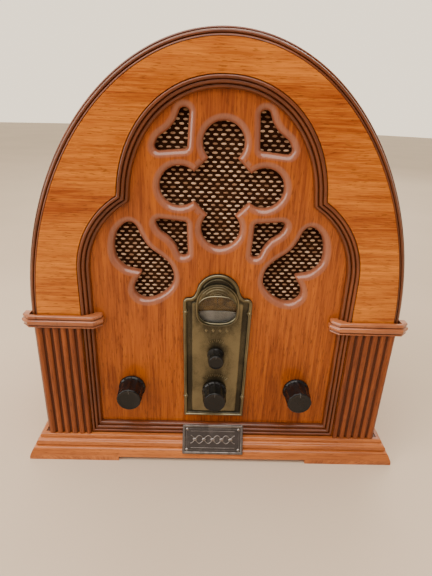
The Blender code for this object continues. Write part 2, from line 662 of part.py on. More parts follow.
# ---- loudspeaker -----------------------------------------------------------------------
def make_speaker():
    at = (0.0, SPEAKER_Z, 0.0)
    flange = BAFFLE_OUT - BAFFLE_THICK - GAP
    basket = [(FLANGE_R, flange), (FLANGE_R, flange - 1.2), (52.0, flange - 1.2), (31.0, -45.5),
              (15.0, -45.5), (15.0, -44.3), (30.2, -44.3), (50.6, flange)]
    place("speaker_basket", turned(basket, 36, ring=True), BLACK_STEEL, at=at)

    surround = [(49.2, -15.9), (49.2, -16.7), (46.9, -16.7), (46.9, -15.9)]
    place("speaker_surround", turned(surround, 36, ring=True), FELT, at=at)

    cone = [(0.0, -33.6), (7.5, -35.0), (12.8, -38.2), (46.3, -15.9), (46.3, -16.8),
            (13.2, -39.4), (13.0, -50.0), (12.4, -50.0), (12.4, -39.2), (7.2, -35.9),
            (0.0, -34.5)]
    place("speaker_cone", turned(cone, 36), PAPER, at=at)

    magnet = [(0.0, -46.2), (11.7, -46.2), (11.7, -60.0), (18.0, -60.0), (18.0, -49.0),
              (14.0, -49.0), (14.0, -45.8), (30.0, -45.8), (30.0, -64.0), (0.0, -64.0)]
    place("speaker_magnet", turned(magnet, 32), FERRITE, at=at)


# ---- electronics on the base board -----------------------------------------------------
def make_electronics():
    """Circuit board on short pillars, and the mains transformer beside it."""
    left, right, near, far = -130.0, 50.0, world_y(-80.0), world_y(-165.0)
    low = 32.0
    board_z = low + 1.6
    place("circuit_board", box((left, near, low), (right, far, board_z)), GREEN_BOARD,
          parent=None)
    floor, sheet = FLOOR_Z + GAP, 1.0
    tray = [(near + 2.0, floor), (far - 2.0, floor), (far - 2.0, low - GAP),
            (far - 2.0 - sheet, low - GAP), (far - 2.0 - sheet, floor + sheet),
            (near + 2.0 + sheet, floor + sheet), (near + 2.0 + sheet, low - GAP),
            (near + 2.0, low - GAP)]
    tray = [(CENTRE_OUT - y, z) for y, z in tray]
    place("board_tray", upright_board(tray, left + 4.0, right - 4.0), STEEL)

    top = board_z + GAP
    for side, x in (("left", -112.0), ("right", -88.0)):
        can = turned([(0.0, top + 30.0), (8.6, top + 30.0), (9.0, top + 29.0), (9.0, top),
                      (0.0, top)], 20)
        place(side + "_smoothing_capacitor", can, ALUMINIUM, at=(x, near + 42.0, 0.0),
              parent=None)
    fins = [(-28.0, 0.0), (28.0, 0.0)]
    for k in range(8):
        x = 28.0 - 8.0 * k
        fins += [(x, 14.0), (x - 1.6, 14.0), (x - 1.6, 3.0), (x - 8.0, 3.0)]
    fins = fins[:-1]
    outline = [(x - 60.0, y + far - 20.0) for x, y in fins]
    place("heat_sink", board([outline], top, top + 24.0), ALUMINIUM, parent=None)
    x, middle, half_stack = 96.0, -120.0, 15.0
    foot = FLOOR_Z + GAP
    windows = [rectangle(x + s, foot + 9.0, x + s + 10.0, foot + 37.0) for s in (-18.0, 8.0)]
    core = board([rectangle(x - 27.0, foot, x + 27.0, foot + 46.0)] + windows,
                 middle - half_stack, middle + half_stack)
    place("transformer_core", core, BLACK_STEEL)
    reach, y = 17.6, world_y(middle)
    ring = [rectangle(x - reach, y - 25.0, x + reach, y + 25.0),
            rectangle(x - 8.0 - GAP, y - half_stack - GAP, x + 8.0 + GAP, y + half_stack + GAP)]
    place("transformer_coil", board(ring, foot + 9.4, foot + 36.6), COPPER, parent=None)


# ---- back ------------------------------------------------------------------------------
def make_back():
    slots = [rounded(rectangle(x - 2.0, z - 17.0, x + 2.0, z + 17.0), [1.9] * 4, 2)
             for z in (110.0, 250.0) for x in (-60.0, -36.0, -12.0, 12.0, 36.0, 60.0)]
    lead = rectangle(INLET_X - 11.4, INLET_Z - 8.4, INLET_X + 11.4, INLET_Z + 8.4)
    screws = {"low_left": (-138.0, 45.0), "low_right": (138.0, 45.0),
              "high_left": (-88.0, 305.0), "high_right": (88.0, 305.0)}
    screw_holes = [circle(x, z, 2.0, 10) for x, z in screws.values()]
    edge = offset(arch()[::2], EDGE_WIDTH + 0.6, closed=False)
    back = BACK_PANEL_OUT - BACK_PANEL_THICK
    place("back_panel", board([edge, lead] + slots + screw_holes, back, BACK_PANEL_OUT),
          HARDBOARD)
    profile = [(0.0, BACK_PANEL_OUT - 0.4), (1.5, BACK_PANEL_OUT - 0.4), (1.5, back - GAP),
               (3.6, back - GAP), (2.6, back - 2.0), (0.0, back - 2.3)]
    for spot, (x, z) in screws.items():
        place(spot + "_back_screw", turned(profile, 12), BLACK_STEEL, at=(x, z, 0.0))

    face = back - 1.0
    body = place("mains_inlet", box((INLET_X - 11.0, INLET_Z - 8.0, face),
                                    (INLET_X + 11.0, INLET_Z + 8.0, -168.0)), BLACK_PLASTIC)
    recess = rounded(rectangle(INLET_X - 8.4, INLET_Z - 4.4, INLET_X + 8.4, INLET_Z + 4.4),
                     [4.3] * 4)
    shape_with(body, "DIFFERENCE", board([recess], face - 1.0, face + 12.0))


make_cabinet()
make_front_panel()
make_grille()
make_pilasters()
make_capitals()
make_base()
make_escutcheon()
make_nameplate()
make_bracket()
make_controls()
make_dial_drive()
make_lamp()
make_speaker()
make_electronics()
make_back()
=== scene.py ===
"""Looks of the cathedral radio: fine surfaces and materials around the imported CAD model.

Shapes are drawn in millimetres. Most are drawn in the front frame, (across, height, out), where
out = 0 is the face of the fretted front panel and out grows towards the listener; the rest are
drawn in plan, in world axes. MM turns millimetres into metres when a piece is made.
"""

import math
import random

import bmesh
import bpy
from mathutils import Matrix, Vector
from mathutils.geometry import delaunay_2d_cdt, intersect_line_line_2d


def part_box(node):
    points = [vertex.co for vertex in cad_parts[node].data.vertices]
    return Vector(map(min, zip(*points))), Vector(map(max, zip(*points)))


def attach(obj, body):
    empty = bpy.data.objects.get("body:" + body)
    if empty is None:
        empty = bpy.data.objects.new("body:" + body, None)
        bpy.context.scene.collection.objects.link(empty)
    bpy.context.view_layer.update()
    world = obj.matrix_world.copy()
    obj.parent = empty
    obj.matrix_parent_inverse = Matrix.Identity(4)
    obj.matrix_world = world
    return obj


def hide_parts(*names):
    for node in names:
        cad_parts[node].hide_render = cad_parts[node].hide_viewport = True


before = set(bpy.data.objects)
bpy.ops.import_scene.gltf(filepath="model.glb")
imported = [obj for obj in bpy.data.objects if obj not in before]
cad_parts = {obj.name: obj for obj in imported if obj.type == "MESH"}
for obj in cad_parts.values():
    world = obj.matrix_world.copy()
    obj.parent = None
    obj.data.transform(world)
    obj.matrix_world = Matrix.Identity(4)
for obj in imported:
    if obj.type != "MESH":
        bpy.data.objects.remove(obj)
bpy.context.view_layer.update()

MM = 0.001
GAP = 0.3

# ---- driving dimensions, millimetres, the same as the CAD model's ----------------------
SHELL_LOW, SHELL_HIGH = (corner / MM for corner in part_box("cabinet_shell"))
FACE_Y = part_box("front_panel")[0].y / MM
PANEL_THICK = (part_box("front_panel")[1].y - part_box("front_panel")[0].y) / MM
HALF_WIDTH = SHELL_HIGH.x
FLOOR_Z = SHELL_LOW.z
TOP_Z = SHELL_HIGH.z
SPRING_Z = 138.0
EDGE_WIDTH = 6.5
FRAME_OUT = FACE_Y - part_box("front_frame")[0].y / MM
BACK_OUT = FACE_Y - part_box("base_board")[1].y / MM

OPENING_HALF, OPENING_FOOT_Z = 114.4, 22.3
SHOULDER_X, SHOULDER_Z, SHOULDER_R, CUSP_DEG = 38.6, 183.0, 75.8, 57.0
CROWN_Z, CROWN_HALF, CROWN_RISE, CROWN_POWER = 240.0, 79.85, 91.75, 2.1
RING_WIDTH = 9.0
ROSE_Z, LOBE_OFFSET, LOBE_R = 253.5, 32.8, 15.5
LIP_WIDTH, LIP_DEPTH = 5.6, 4.4
LIP_STAINS = (0.1, 0.65, 0.8, 0.85, 0.95)
KNOB_X, KNOB_Z, KNOB_R = 75.7, 70.0, 12.1
OVER_PANEL, OVER_PLATE = 0.8, 3.4
TUNING_Z, TUNING_R = 69.0, 11.2
TONE_Z, TONE_R = 107.5, 7.6
KNOB_FACE = FACE_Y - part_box("volume_knob")[0].y / MM
TONE_FACE = FACE_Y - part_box("tone_knob")[0].y / MM
SHAFT_BORE, PANEL_BORE_R, PLATE_BORE_R = 3.3, 5.1, 5.6
DIAL_Z, DIAL_HOLE_R = 151.0, 19.0
WINDOW_HALF, WINDOW_RISE, WINDOW_POWER = 16.2, 12.4, 2.6
HOOD_RISE, FIELD_OUT, HEAD_Z = 5.9, 2.1, 165.3
HOOD_Z = DIAL_Z + HOOD_RISE
BACK_PANEL_OUT, BACK_PANEL_THICK = -186.0, 3.2
INLET_X, INLET_Z = 100.0, 50.0

FRONT = Matrix(((1, 0, 0, 0), (0, 0, -1, FACE_Y), (0, 1, 0, 0), (0, 0, 0, 1)))
PLAN = Matrix.Identity(4)


# ---- outlines, (across, height) --------------------------------------------------------
def arc(x, y, radius, start, end, steps):
    """Points of an arc, angles in degrees."""
    angles = [math.radians(start + (end - start) * i / steps) for i in range(steps + 1)]
    return [(x + radius * math.cos(a), y + radius * math.sin(a)) for a in angles]


def circle(x, y, radius, sides):
    return arc(x, y, radius, 0.0, 360.0, sides)[:-1]


def superellipse(x, y, half, rise, power, start, end, steps):
    """Points of a squared-off ellipse, angles in degrees."""
    points = []
    for i in range(steps + 1):
        a = math.radians(start + (end - start) * i / steps)
        c, s = math.cos(a), math.sin(a)
        reach = (abs(c / half) ** power + abs(s / rise) ** power) ** (-1.0 / power)
        points.append((x + reach * c, y + reach * s))
    return points


def through(points, steps=5, closed=False):
    """Smooth line through the points (Catmull-Rom)."""
    count = len(points)
    line = []
    for i in range(count if closed else count - 1):
        near = [(i + k) % count if closed else min(max(i + k, 0), count - 1)
                for k in (-1, 0, 1, 2)]
        a, b, c, d = (Vector(points[j]) for j in near)
        for k in range(steps):
            t = k / steps
            line.append(tuple(0.5 * (2 * b + (c - a) * t + (2 * a - 5 * b + 4 * c - d) * t * t
                                     + (3 * b - a - 3 * c + d) * t ** 3)))
    return line if closed else line + [tuple(points[-1])]


def runs(*parts, steps=5):
    """Smooth runs of points that meet at sharp corners."""
    line = []
    for part in parts:
        line += through(part, steps)[:-1]
    return line + [parts[-1][-1]]


def rounded(corners, radii, steps=5):
    """Polygon with its corners rounded, each to its own radius."""
    points = []
    for i, radius in enumerate(radii):
        corner = Vector(corners[i])
        before = (Vector(corners[i - 1]) - corner).normalized()
        after = (Vector(corners[(i + 1) % len(corners)]) - corner).normalized()
        if radius == 0.0:
            points.append(tuple(corner))
            continue
        half_angle = before.angle(after) / 2
        centre = corner + (before + after).normalized() * radius / math.sin(half_angle)
        reach = radius / math.tan(half_angle)
        start, end = corner + before * reach - centre, corner + after * reach - centre
        for k in range(steps + 1):
            points.append(tuple(centre + start.slerp(end, k / steps).normalized() * radius))
    return points


def rectangle(x0, y0, x1, y1):
    return [(x0, y0), (x1, y0), (x1, y1), (x0, y1)]


def mirrored(outline):
    return [(-x, y) for x, y in reversed(outline)]


def area_of(outline):
    pairs = zip(outline, outline[1:] + outline[:1])
    return sum(a[0] * b[1] - b[0] * a[1] for a, b in pairs) / 2


def mitres(path, closed):
    """At each point, the step that moves the path one unit to its left."""
    count = len(path)
    steps = []
    for i in range(count):
        normals = []
        for j in (i - 1, i):
            if not closed and (j < 0 or j == count - 1):
                continue
            along = Vector(path[(j + 1) % count]) - Vector(path[j % count])
            normals.append(Vector((-along.y, along.x)).normalized())
        first, last = normals[0], normals[-1]
        steps.append((first + last) / (1.0 + first.dot(last)))
    return steps


def offset(path, distance, closed=True):
    """The path moved to its left by a distance, corners mitred."""
    return [tuple(Vector(point) + step * distance)
            for point, step in zip(path, mitres(path, closed))]


def spread(outline, distance):
    """A counter-clockwise outline moved outwards. Where that folds the line over itself, the
    points of the fold gather at its crossing, which makes a mitre."""
    moved = [Vector(point) for point in offset(outline, -distance)]
    count = len(moved)
    longest_fold = min(24, count // 3)
    for i in range(count):
        for span in range(longest_fold, 1, -1):
            j = i + span
            ends = (moved[i], moved[(i + 1) % count], moved[j % count], moved[(j + 1) % count])
            crossing = intersect_line_line_2d(*ends)
            if crossing is not None and (ends[1] - ends[0]).length > 1e-6:
                for k in range(i + 1, j + 1):
                    moved[k % count] = crossing.copy()
                break
    return [tuple(point) for point in moved]


def arch():
    """Outside of the cabinet, from the right foot over the top to the left foot."""
    steps = 128
    points = [(HALF_WIDTH, FLOOR_Z + (SPRING_Z - FLOOR_Z) * k / 6) for k in range(6)]
    for i in range(steps + 1):
        t = math.pi * i / steps
        points.append((HALF_WIDTH * math.cos(t), SPRING_Z + (TOP_Z - SPRING_Z) * math.sin(t)))
    return points + [(-x, z) for x, z in reversed(points[:6])]


def opening():
    """Edge of the frame's opening, counter-clockwise: a shouldered arch."""
    right = [(OPENING_HALF, OPENING_FOOT_Z + 40.0 * k) for k in range(4)]
    right += arc(SHOULDER_X, SHOULDER_Z, SHOULDER_R, 0.0, CUSP_DEG, 28)
    start = math.degrees(math.atan2(right[-1][1] - CROWN_Z, right[-1][0]))
    crown = superellipse(0.0, CROWN_Z, CROWN_HALF, CROWN_RISE, CROWN_POWER,
                         start, 180.0 - start, 80)[1:-1]
    return right + crown + mirrored(right)


def rose():
    """Four-lobed opening in the crown of the fretwork."""
    points = []
    for quarter in range(4):
        turn = math.radians(90.0 * quarter)
        x, y = LOBE_OFFSET * math.cos(turn), LOBE_OFFSET * math.sin(turn)
        points += arc(x, ROSE_Z + y, LOBE_R, 90.0 * quarter - 135.0, 90.0 * quarter + 135.0, 40)
    return points


def ear(side, up):
    """Three-cornered opening between two lobes, its long side facing the arch."""
    corners = [(27.4, 27.9), (53.5, 25.4), (49.0, 35.4), (40.5, 41.4), (35.8, 47.4),
               (32.2, 56.2), (25.9, 56.2)]
    points = rounded(corners, [2.0, 3.2, 9.0, 12.0, 12.0, 3.0, 3.0])
    points = [(side * x, ROSE_Z + up * y) for x, y in points]
    return points if side * up > 0 else points[::-1]


def kidney(side):
    """Kidney-shaped opening beside the dial."""
    points = [(71.8, 224.2), (67.2, 221.0), (64.4, 214.5), (58.0, 204.3), (48.5, 197.0),
              (41.2, 190.0), (37.8, 181.5), (38.2, 174.0), (42.6, 166.8), (49.7, 161.0),
              (56.3, 158.2), (62.5, 157.9), (67.6, 160.3), (70.6, 165.4), (69.4, 172.0),
              (65.2, 179.4), (64.5, 182.5), (69.3, 183.9), (75.5, 185.2), (81.2, 189.5),
              (84.9, 196.0), (85.4, 206.0), (82.8, 215.8), (77.6, 222.2)]
    line = through(points, 5, closed=True)
    return line if side > 0 else mirrored(line)


def plate_outline():
    """Dial escutcheon, counter-clockwise: a tall plate, shoulders and a round head."""
    right = rounded([(0.0, 40.5), (27.6, 40.5), (29.5, 161.8), (22.4, 162.2)],
                    [0.0, 1.2, 4.6, 0.0], 6)[1:]
    right += [(19.9, 164.2), (18.7, 167.2)]
    head = arc(0.0, HEAD_Z, 18.5, 8.0, 172.0, 48)
    return right + head + mirrored(right)


def window_outline(widen=0.0):
    return superellipse(0.0, DIAL_Z, WINDOW_HALF + widen, WINDOW_RISE + widen, WINDOW_POWER,
                        0.0, 360.0, 96)[:-1]


def bezel_outline():
    """Flattened round below, and a half circle above that covers the hood."""
    lower = superellipse(0.0, DIAL_Z, 17.6, 14.8, WINDOW_POWER, -180.0, 0.0, 48)
    return lower + arc(0.0, HOOD_Z, 17.6, 0.0, 180.0, 48)


# ---- mesh tools ------------------------------------------------------------------------
def new_mesh():
    """A bmesh with the two values that the materials read at each point: the stain value, how dark
    a point is, which is real stain on cut wood edges and patina in metal hollows, and also painted
    shade in the grooves of mouldings and reeds; and "grain", how far along and across a bent piece
    of wood the point lies."""
    bm = bmesh.new()
    bm.verts.layers.float.new("stain_and_shade")
    bm.verts.layers.float_vector.new("grain")
    return bm


def ring(bm, points, stain_and_shade=0.0, along=0.0):
    stains_and_shades, grains = bm.verts.layers.float["stain_and_shade"], bm.verts.layers.float_vector["grain"]
    verts, across = [], 0.0
    for i, point in enumerate(points):
        if i:
            across += (Vector(point) - Vector(points[i - 1])).length
        vert = bm.verts.new(point)
        vert[stains_and_shades] = stain_and_shade[i] if isinstance(stain_and_shade, (list, tuple)) else stain_and_shade
        vert[grains] = (across * MM, 0.0, along * MM)
        verts.append(vert)
    return verts


def flat(bm, outline, level, stain_and_shade=0.0):
    """A ring of points that all lie at one level."""
    return ring(bm, [(x, y, level) for x, y in outline], stain_and_shade)


def skin(bm, rows, around=True, along=False):
    """Faces between rows of equal length. around closes each row, along joins last to first."""
    pairs = list(zip(rows, rows[1:])) + ([(rows[-1], rows[0])] if along else [])
    for one, two in pairs:
        for i in range(len(one) if around else len(one) - 1):
            j = (i + 1) % len(one)
            bm.faces.new((one[i], two[i], two[j], one[j]))


def fill(bm, *loops, axes=(0, 1)):
    """Flat face between closed loops of points; the first is the edge, the others are holes.
    axes are the two coordinates that the flat is drawn in."""
    verts = [vert for loop in loops for vert in loop]
    places = [Vector((vert.co[axes[0]], vert.co[axes[1]])) for vert in verts]
    edges, outlines, first = [], [], 0
    for loop in loops:
        count = len(loop)
        edges += [(first + i, first + (i + 1) % count) for i in range(count)]
        outlines.append(places[first:first + count])
        first += count
    corners, _, triangles, origins, _, _ = delaunay_2d_cdt(places, edges, [], 0, 1e-5)
    for triangle in triangles:
        middle = (corners[triangle[0]] + corners[triangle[1]] + corners[triangle[2]]) / 3
        if not within(middle, outlines[0]) or any(within(middle, hole) for hole in outlines[1:]):
            continue
        around = [verts[origins[i][0]] for i in triangle]
        if len(set(around)) == 3 and bm.faces.get(around) is None:
            bm.faces.new(around)


def within(place, outline):
    """Whether a place lies inside a closed outline."""
    inside = False
    before = outline[-1]
    for after in outline:
        if (after.y > place.y) != (before.y > place.y):
            crossing = before.x + (place.y - before.y) * (after.x - before.x) / (after.y - before.y)
            inside ^= place.x < crossing
        before = after
    return inside


def solid(bm, rows, axes=None):
    """Faces between the rows, and over both ends. Ends that turn inwards somewhere need axes."""
    skin(bm, rows)
    if axes:
        fill(bm, rows[0], axes=axes)
        fill(bm, rows[-1], axes=axes)
    else:
        bm.faces.new(rows[-1])
        bm.faces.new(rows[0][::-1])


def tidy(bm):
    """Join doubled points and turn the faces outwards."""
    bmesh.ops.remove_doubles(bm, verts=bm.verts, dist=0.0005)
    bmesh.ops.dissolve_degenerate(bm, edges=bm.edges, dist=0.0005)
    bmesh.ops.recalc_face_normals(bm, faces=bm.faces)


def placed(name, data):
    """A new object in the scene."""
    item = bpy.data.objects.new(name, data)
    bpy.context.scene.collection.objects.link(item)
    return item


def piece(name, bm, mat, *nodes, slot=None, body="cabinet", drawn=FRONT, sharp=32.0):
    """A finished piece: its mesh in metres in the row frame, riding on its body."""
    tidy(bm)
    bmesh.ops.transform(bm, matrix=Matrix.Scale(MM, 4) @ drawn, verts=bm.verts)
    if (Matrix.Scale(MM, 4) @ drawn).determinant() < 0:
        bmesh.ops.reverse_faces(bm, faces=bm.faces)
    mesh = bpy.data.meshes.new(name)
    bm.to_mesh(mesh)
    bm.free()
    mesh.shade_smooth()
    mesh.set_sharp_from_angle(angle=math.radians(sharp))
    mesh.materials.append(mat)
    item = placed(name, mesh)
    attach(item, body)
    if nodes:
        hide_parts(*nodes)
    return item


def sweep(bm, path, profile, closed, stains_and_shades=None):
    """Sweep a closed (left, out) profile along a path, mitred at each point."""
    rows, travelled = [], 0.0
    for i, (point, step) in enumerate(zip(path, mitres(path, closed))):
        if i:
            travelled += (Vector(point) - Vector(path[i - 1])).length
        points = [(point[0] + step.x * left, point[1] + step.y * left, out)
                  for left, out in profile]
        rows.append(ring(bm, points, stains_and_shades or 0.0, travelled))
    if closed:
        skin(bm, rows, along=True)
    else:
        solid(bm, rows)


def lathe(bm, profile, steps, at):
    """Turn (radius, level) points about the third axis; points on the axis become one."""
    rows = []
    for radius, level in profile:
        rows.append(ring(bm, [(at[0] + radius * math.cos(2 * math.pi * k / steps),
                               at[1] + radius * math.sin(2 * math.pi * k / steps), level)
                              for k in range(steps)]))
    skin(bm, rows, along=profile[0][0] > 0.001 and profile[-1][0] > 0.001)


def board(bm, low, high, cuts, steps=3):
    """Flat piece between two levels. Each cut is an outline, first the outside and then the
    holes, with the width and depth of its rounded front edge, and five stains: three from the
    front inwards over that edge, one where it ends, and one at the back."""
    fronts, backs = [], []
    for outline, width, depth, stains_and_shades in cuts:
        rows = []
        for k in range(steps if depth else 0):
            a = math.pi / 2 * k / steps
            moved = spread(outline, width * (1 - math.sin(a)))
            rows.append(flat(bm, moved, high - depth * (1 - math.cos(a)), stains_and_shades[min(k, 3)]))
        rows.append(flat(bm, outline, high - depth, stains_and_shades[3]))
        rows.append(flat(bm, outline, low, stains_and_shades[4]))
        skin(bm, rows)
        fronts.append(rows[0])
        backs.append(rows[-1])
    fill(bm, *fronts)
    fill(bm, *backs)


def sharp_cuts(*outlines, stain_and_shade=0.0):
    """Cuts whose front edge isn't rounded."""
    return [(outline, 0.0, 0.0, [stain_and_shade] * 5) for outline in outlines]


def tube(bm, points, radius, sides):
    """Round wire along points of the front frame."""
    path = [Vector(point) for point in points]
    rows = []
    for i, point in enumerate(path):
        before, after = path[max(i - 1, 0)], path[min(i + 1, len(path) - 1)]
        along = (after - before).normalized()
        side = along.cross(Vector((0.0, 0.0, 1.0)) if abs(along.z) < 0.9 else Vector((1, 0, 0)))
        side.normalize()
        up = side.cross(along)
        rows.append(ring(bm, [point + (side * math.cos(a) + up * math.sin(a)) * radius
                              for a in (2 * math.pi * k / sides for k in range(sides))]))
    solid(bm, rows)


def dome(bm, x, y, half_x, half_y, low, rise, sides=20, levels=4, turn=0.0, shade=0.0):
    """Low pillow standing on a surface, such as a rivet or a carved drop."""
    rows = []
    for k in range(levels):
        a = math.pi / 2 * k / levels
        points = []
        for i in range(sides):
            t = 2 * math.pi * i / sides
            px, py = half_x * math.cos(a) * math.cos(t), half_y * math.cos(a) * math.sin(t)
            points.append((x + px * math.cos(turn) - py * math.sin(turn),
                           y + px * math.sin(turn) + py * math.cos(turn),
                           low + rise * math.sin(a)))
        rows.append(ring(bm, points, shade))
    solid(bm, rows)


def carved(item, *cutters):
    """Cut boxes out of a finished piece and apply the cut."""
    for low, high in cutters:
        bm = bmesh.new()
        low, high = Vector(low) * MM, Vector(high) * MM
        scale = Matrix.Diagonal((*(high - low), 1.0))
        bmesh.ops.create_cube(bm, size=1.0, matrix=Matrix.Translation((low + high) / 2) @ scale)
        mesh = bpy.data.meshes.new("cutter")
        bm.to_mesh(mesh)
        bm.free()
        tool = placed("cutter", mesh)
        modifier = item.modifiers.new("Cut", "BOOLEAN")
        modifier.operation = "DIFFERENCE"
        modifier.object = tool
        depsgraph = bpy.context.evaluated_depsgraph_get()
        result = bpy.data.meshes.new_from_object(item.evaluated_get(depsgraph))
        item.modifiers.clear()
        item.data = result
        bpy.data.objects.remove(tool)


# ---- materials -------------------------------------------------------------------------
class Shader:
    """A node material around one Principled BSDF, with short calls for what the surfaces use."""

    def __init__(self, name, **fixed):
        self.mat = bpy.data.materials.new(name)
        self.mat.use_nodes = True
        self.nodes, self.links = self.mat.node_tree.nodes, self.mat.node_tree.links
        self.bsdf = self.nodes["Principled BSDF"]
        for socket, value in fixed.items():
            self.bsdf.inputs[socket.replace("_", " ")].default_value = value

    def node(self, kind, **values):
        made = self.nodes.new(kind)
        for key, value in values.items():
            setattr(made, key, value)
        return made

    def feed(self, socket, value):
        if isinstance(value, bpy.types.NodeSocket):
            self.links.new(value, socket)
        else:
            socket.default_value = value

    def places(self, scale, attribute=None):
        """Object coordinates, or a point attribute, times a scale or a scale for each axis."""
        if attribute:
            source = self.node("ShaderNodeAttribute", attribute_name=attribute).outputs["Vector"]
        else:
            source = self.node("ShaderNodeTexCoord").outputs["Object"]
        mapping = self.node("ShaderNodeMapping")
        self.links.new(source, mapping.inputs["Vector"])
        mapping.inputs["Scale"].default_value = scale if isinstance(scale, tuple) else (scale,) * 3
        return mapping.outputs["Vector"]

    def value(self, attribute):
        return self.node("ShaderNodeAttribute", attribute_name=attribute).outputs["Fac"]

    def noise(self, places, detail=3.0, roughness=0.55, distortion=0.0):
        made = self.node("ShaderNodeTexNoise")
        for socket, value in (("Vector", places), ("Scale", 1.0), ("Detail", detail),
                              ("Roughness", roughness), ("Distortion", distortion)):
            self.feed(made.inputs[socket], value)
        return made.outputs["Fac"]

    def span(self, value, low, high, to_low=0.0, to_high=1.0):
        """Value mapped from one range to another and held at its ends."""
        made = self.node("ShaderNodeMapRange", interpolation_type="SMOOTHSTEP")
        for socket, given in zip(("Value", "From Min", "From Max", "To Min", "To Max"),
                                 (value, low, high, to_low, to_high)):
            self.feed(made.inputs[socket], given)
        return made.outputs["Result"]

    def maths(self, operation, a, b=0.0):
        made = self.node("ShaderNodeMath", operation=operation)
        self.feed(made.inputs[0], a)
        self.feed(made.inputs[1], b)
        return made.outputs[0]

    def mix(self, factor, a, b, blend="MIX"):
        made = self.node("ShaderNodeMix", data_type="RGBA", blend_type=blend)
        self.feed(made.inputs["Factor"], factor)
        for socket, value in ((made.inputs[6], a), (made.inputs[7], b)):
            if not isinstance(value, bpy.types.NodeSocket) and len(value) == 3:
                value = (*value, 1.0)
            self.feed(socket, value)
        return made.outputs[2]

    def bump(self, height, strength, depth, into="Normal"):
        made = self.node("ShaderNodeBump")
        for socket, value in (("Height", height), ("Strength", strength),
                              ("Distance", depth * MM)):
            self.feed(made.inputs[socket], value)
        self.links.new(made.outputs["Normal"], self.bsdf.inputs[into])

    def to(self, socket, value):
        self.links.new(value, self.bsdf.inputs[socket])


def wood(name, light, dark, grain="Z", gloss=0.3, figure=0.5, edge=(0.060, 0.013, 0.004),
         wet_edges=False):
    """Lacquered wood. grain is the world axis that the fibres follow, or "path" along a bent
    or mitred piece. Long fibres, soft growth bands, short pores, and edges darkened towards the
    edge colour: real stain on cut edges, and painted shade in the grooves of mouldings and reeds.
    The darkened edges have more lacquer where wet_edges is set."""
    made = Shader(name, Coat_Weight=gloss, Coat_Roughness=0.14, Coat_IOR=1.5)
    made.bsdf.inputs["Specular IOR Level"].default_value = 0.15

    def stretched(across, along):
        if grain == "path":
            return made.places((across, across, along), "grain")
        return made.places(tuple(along if axis == grain else across for axis in "XYZ"))

    bands = made.noise(stretched(48.0, 3.2), 4.0, 0.6, 0.9)
    streaks = made.noise(stretched(300.0, 11.0), 3.0, 0.65, 0.3)
    fibres = made.noise(stretched(760.0, 30.0), 3.0, 0.75)
    pores = made.noise(stretched(1250.0, 130.0), 2.0, 0.6)
    patch = made.noise(made.places(11.0), 2.0, 0.5)

    tone = made.maths("ADD", made.span(streaks, 0.38, 0.62, 0.0, 0.42),
                      made.span(fibres, 0.38, 0.62, 0.0, 0.48))
    tone = made.maths("ADD", tone, made.span(bands, 0.34, 0.68, 0.0, figure * 0.75))
    tone = made.maths("ADD", tone, made.span(patch, 0.38, 0.66, 0.0, 0.22))
    tone = made.maths("MULTIPLY", tone, 0.74)
    colour = made.mix(tone, light, dark)
    pore = made.span(pores, 0.57, 0.68, 0.0, 0.55)
    colour = made.mix(pore, colour, tuple(channel * 0.35 for channel in dark))
    # Darken towards the edge colour as the stain value says: real stain on cut edges, painted shade
    # in grooves
    stain_and_shade = made.value("stain_and_shade")
    colour = made.mix(made.maths("MULTIPLY", stain_and_shade, 0.88), colour, edge)
    made.to("Base Color", colour)
    if wet_edges:
        made.to("Coat Weight", made.span(stain_and_shade, 0.0, 0.7, gloss, 1.0))
    made.to("Roughness", made.span(fibres, 0.3, 0.7, 0.34, 0.52))
    made.bump(made.maths("SUBTRACT", fibres, pore), 0.35, 0.06)
    ripple = made.noise(stretched(160.0, 30.0), 2.0, 0.5)
    made.bump(ripple, 0.10, 0.10, "Coat Normal")
    return made.mat


def raw_wood(name, light, dark):
    """Unfinished softwood with its fibres across the cabinet."""
    made = Shader(name, Roughness=0.75)
    fibres = made.noise(made.places((9.0, 300.0, 300.0)), 4.0, 0.6, 0.3)
    made.to("Base Color", made.mix(made.span(fibres, 0.3, 0.7), light, dark))
    made.to("Roughness", made.span(fibres, 0.3, 0.7, 0.62, 0.85))
    made.bump(fibres, 0.4, 0.15)
    return made.mat


def fibreboard(name, light, dark):
    """Pressed fibre: short matted hairs and a faint sheen."""
    made = Shader(name, Roughness=0.8)
    felted = made.noise(made.places(900.0), 5.0, 0.7, 1.2)
    patch = made.noise(made.places(40.0), 3.0, 0.6)
    both = made.maths("ADD", made.maths("MULTIPLY", felted, 0.7),
                      made.maths("MULTIPLY", patch, 0.3))
    made.to("Base Color", made.mix(made.span(both, 0.36, 0.62), light, dark))
    made.to("Roughness", made.span(felted, 0.3, 0.7, 0.62, 0.9))
    made.bump(felted, 0.5, 0.12)
    return made.mat


def metal(name, colour, dark, rough, stretch=90.0, age=0.5):
    """Metal with a patina that gathers where "stain" says, and fine pitting."""
    made = Shader(name, Metallic=1.0)
    cloud = made.noise(made.places(stretch), 4.0, 0.62, 0.4)
    fine = made.noise(made.places(1200.0), 3.0, 0.6)
    worn = made.maths("ADD", made.span(cloud, 0.34, 0.68, 0.0, age),
                      made.span(fine, 0.4, 0.75, 0.0, age * 0.4))
    worn = made.maths("ADD", worn, made.value("stain_and_shade"))
    worn = made.span(worn, 0.0, 1.0)
    made.to("Base Color", made.mix(worn, colour, dark))
    made.to("Roughness", made.span(worn, 0.0, 1.0, *rough))
    made.bump(fine, 0.25, 0.03)
    return made.mat


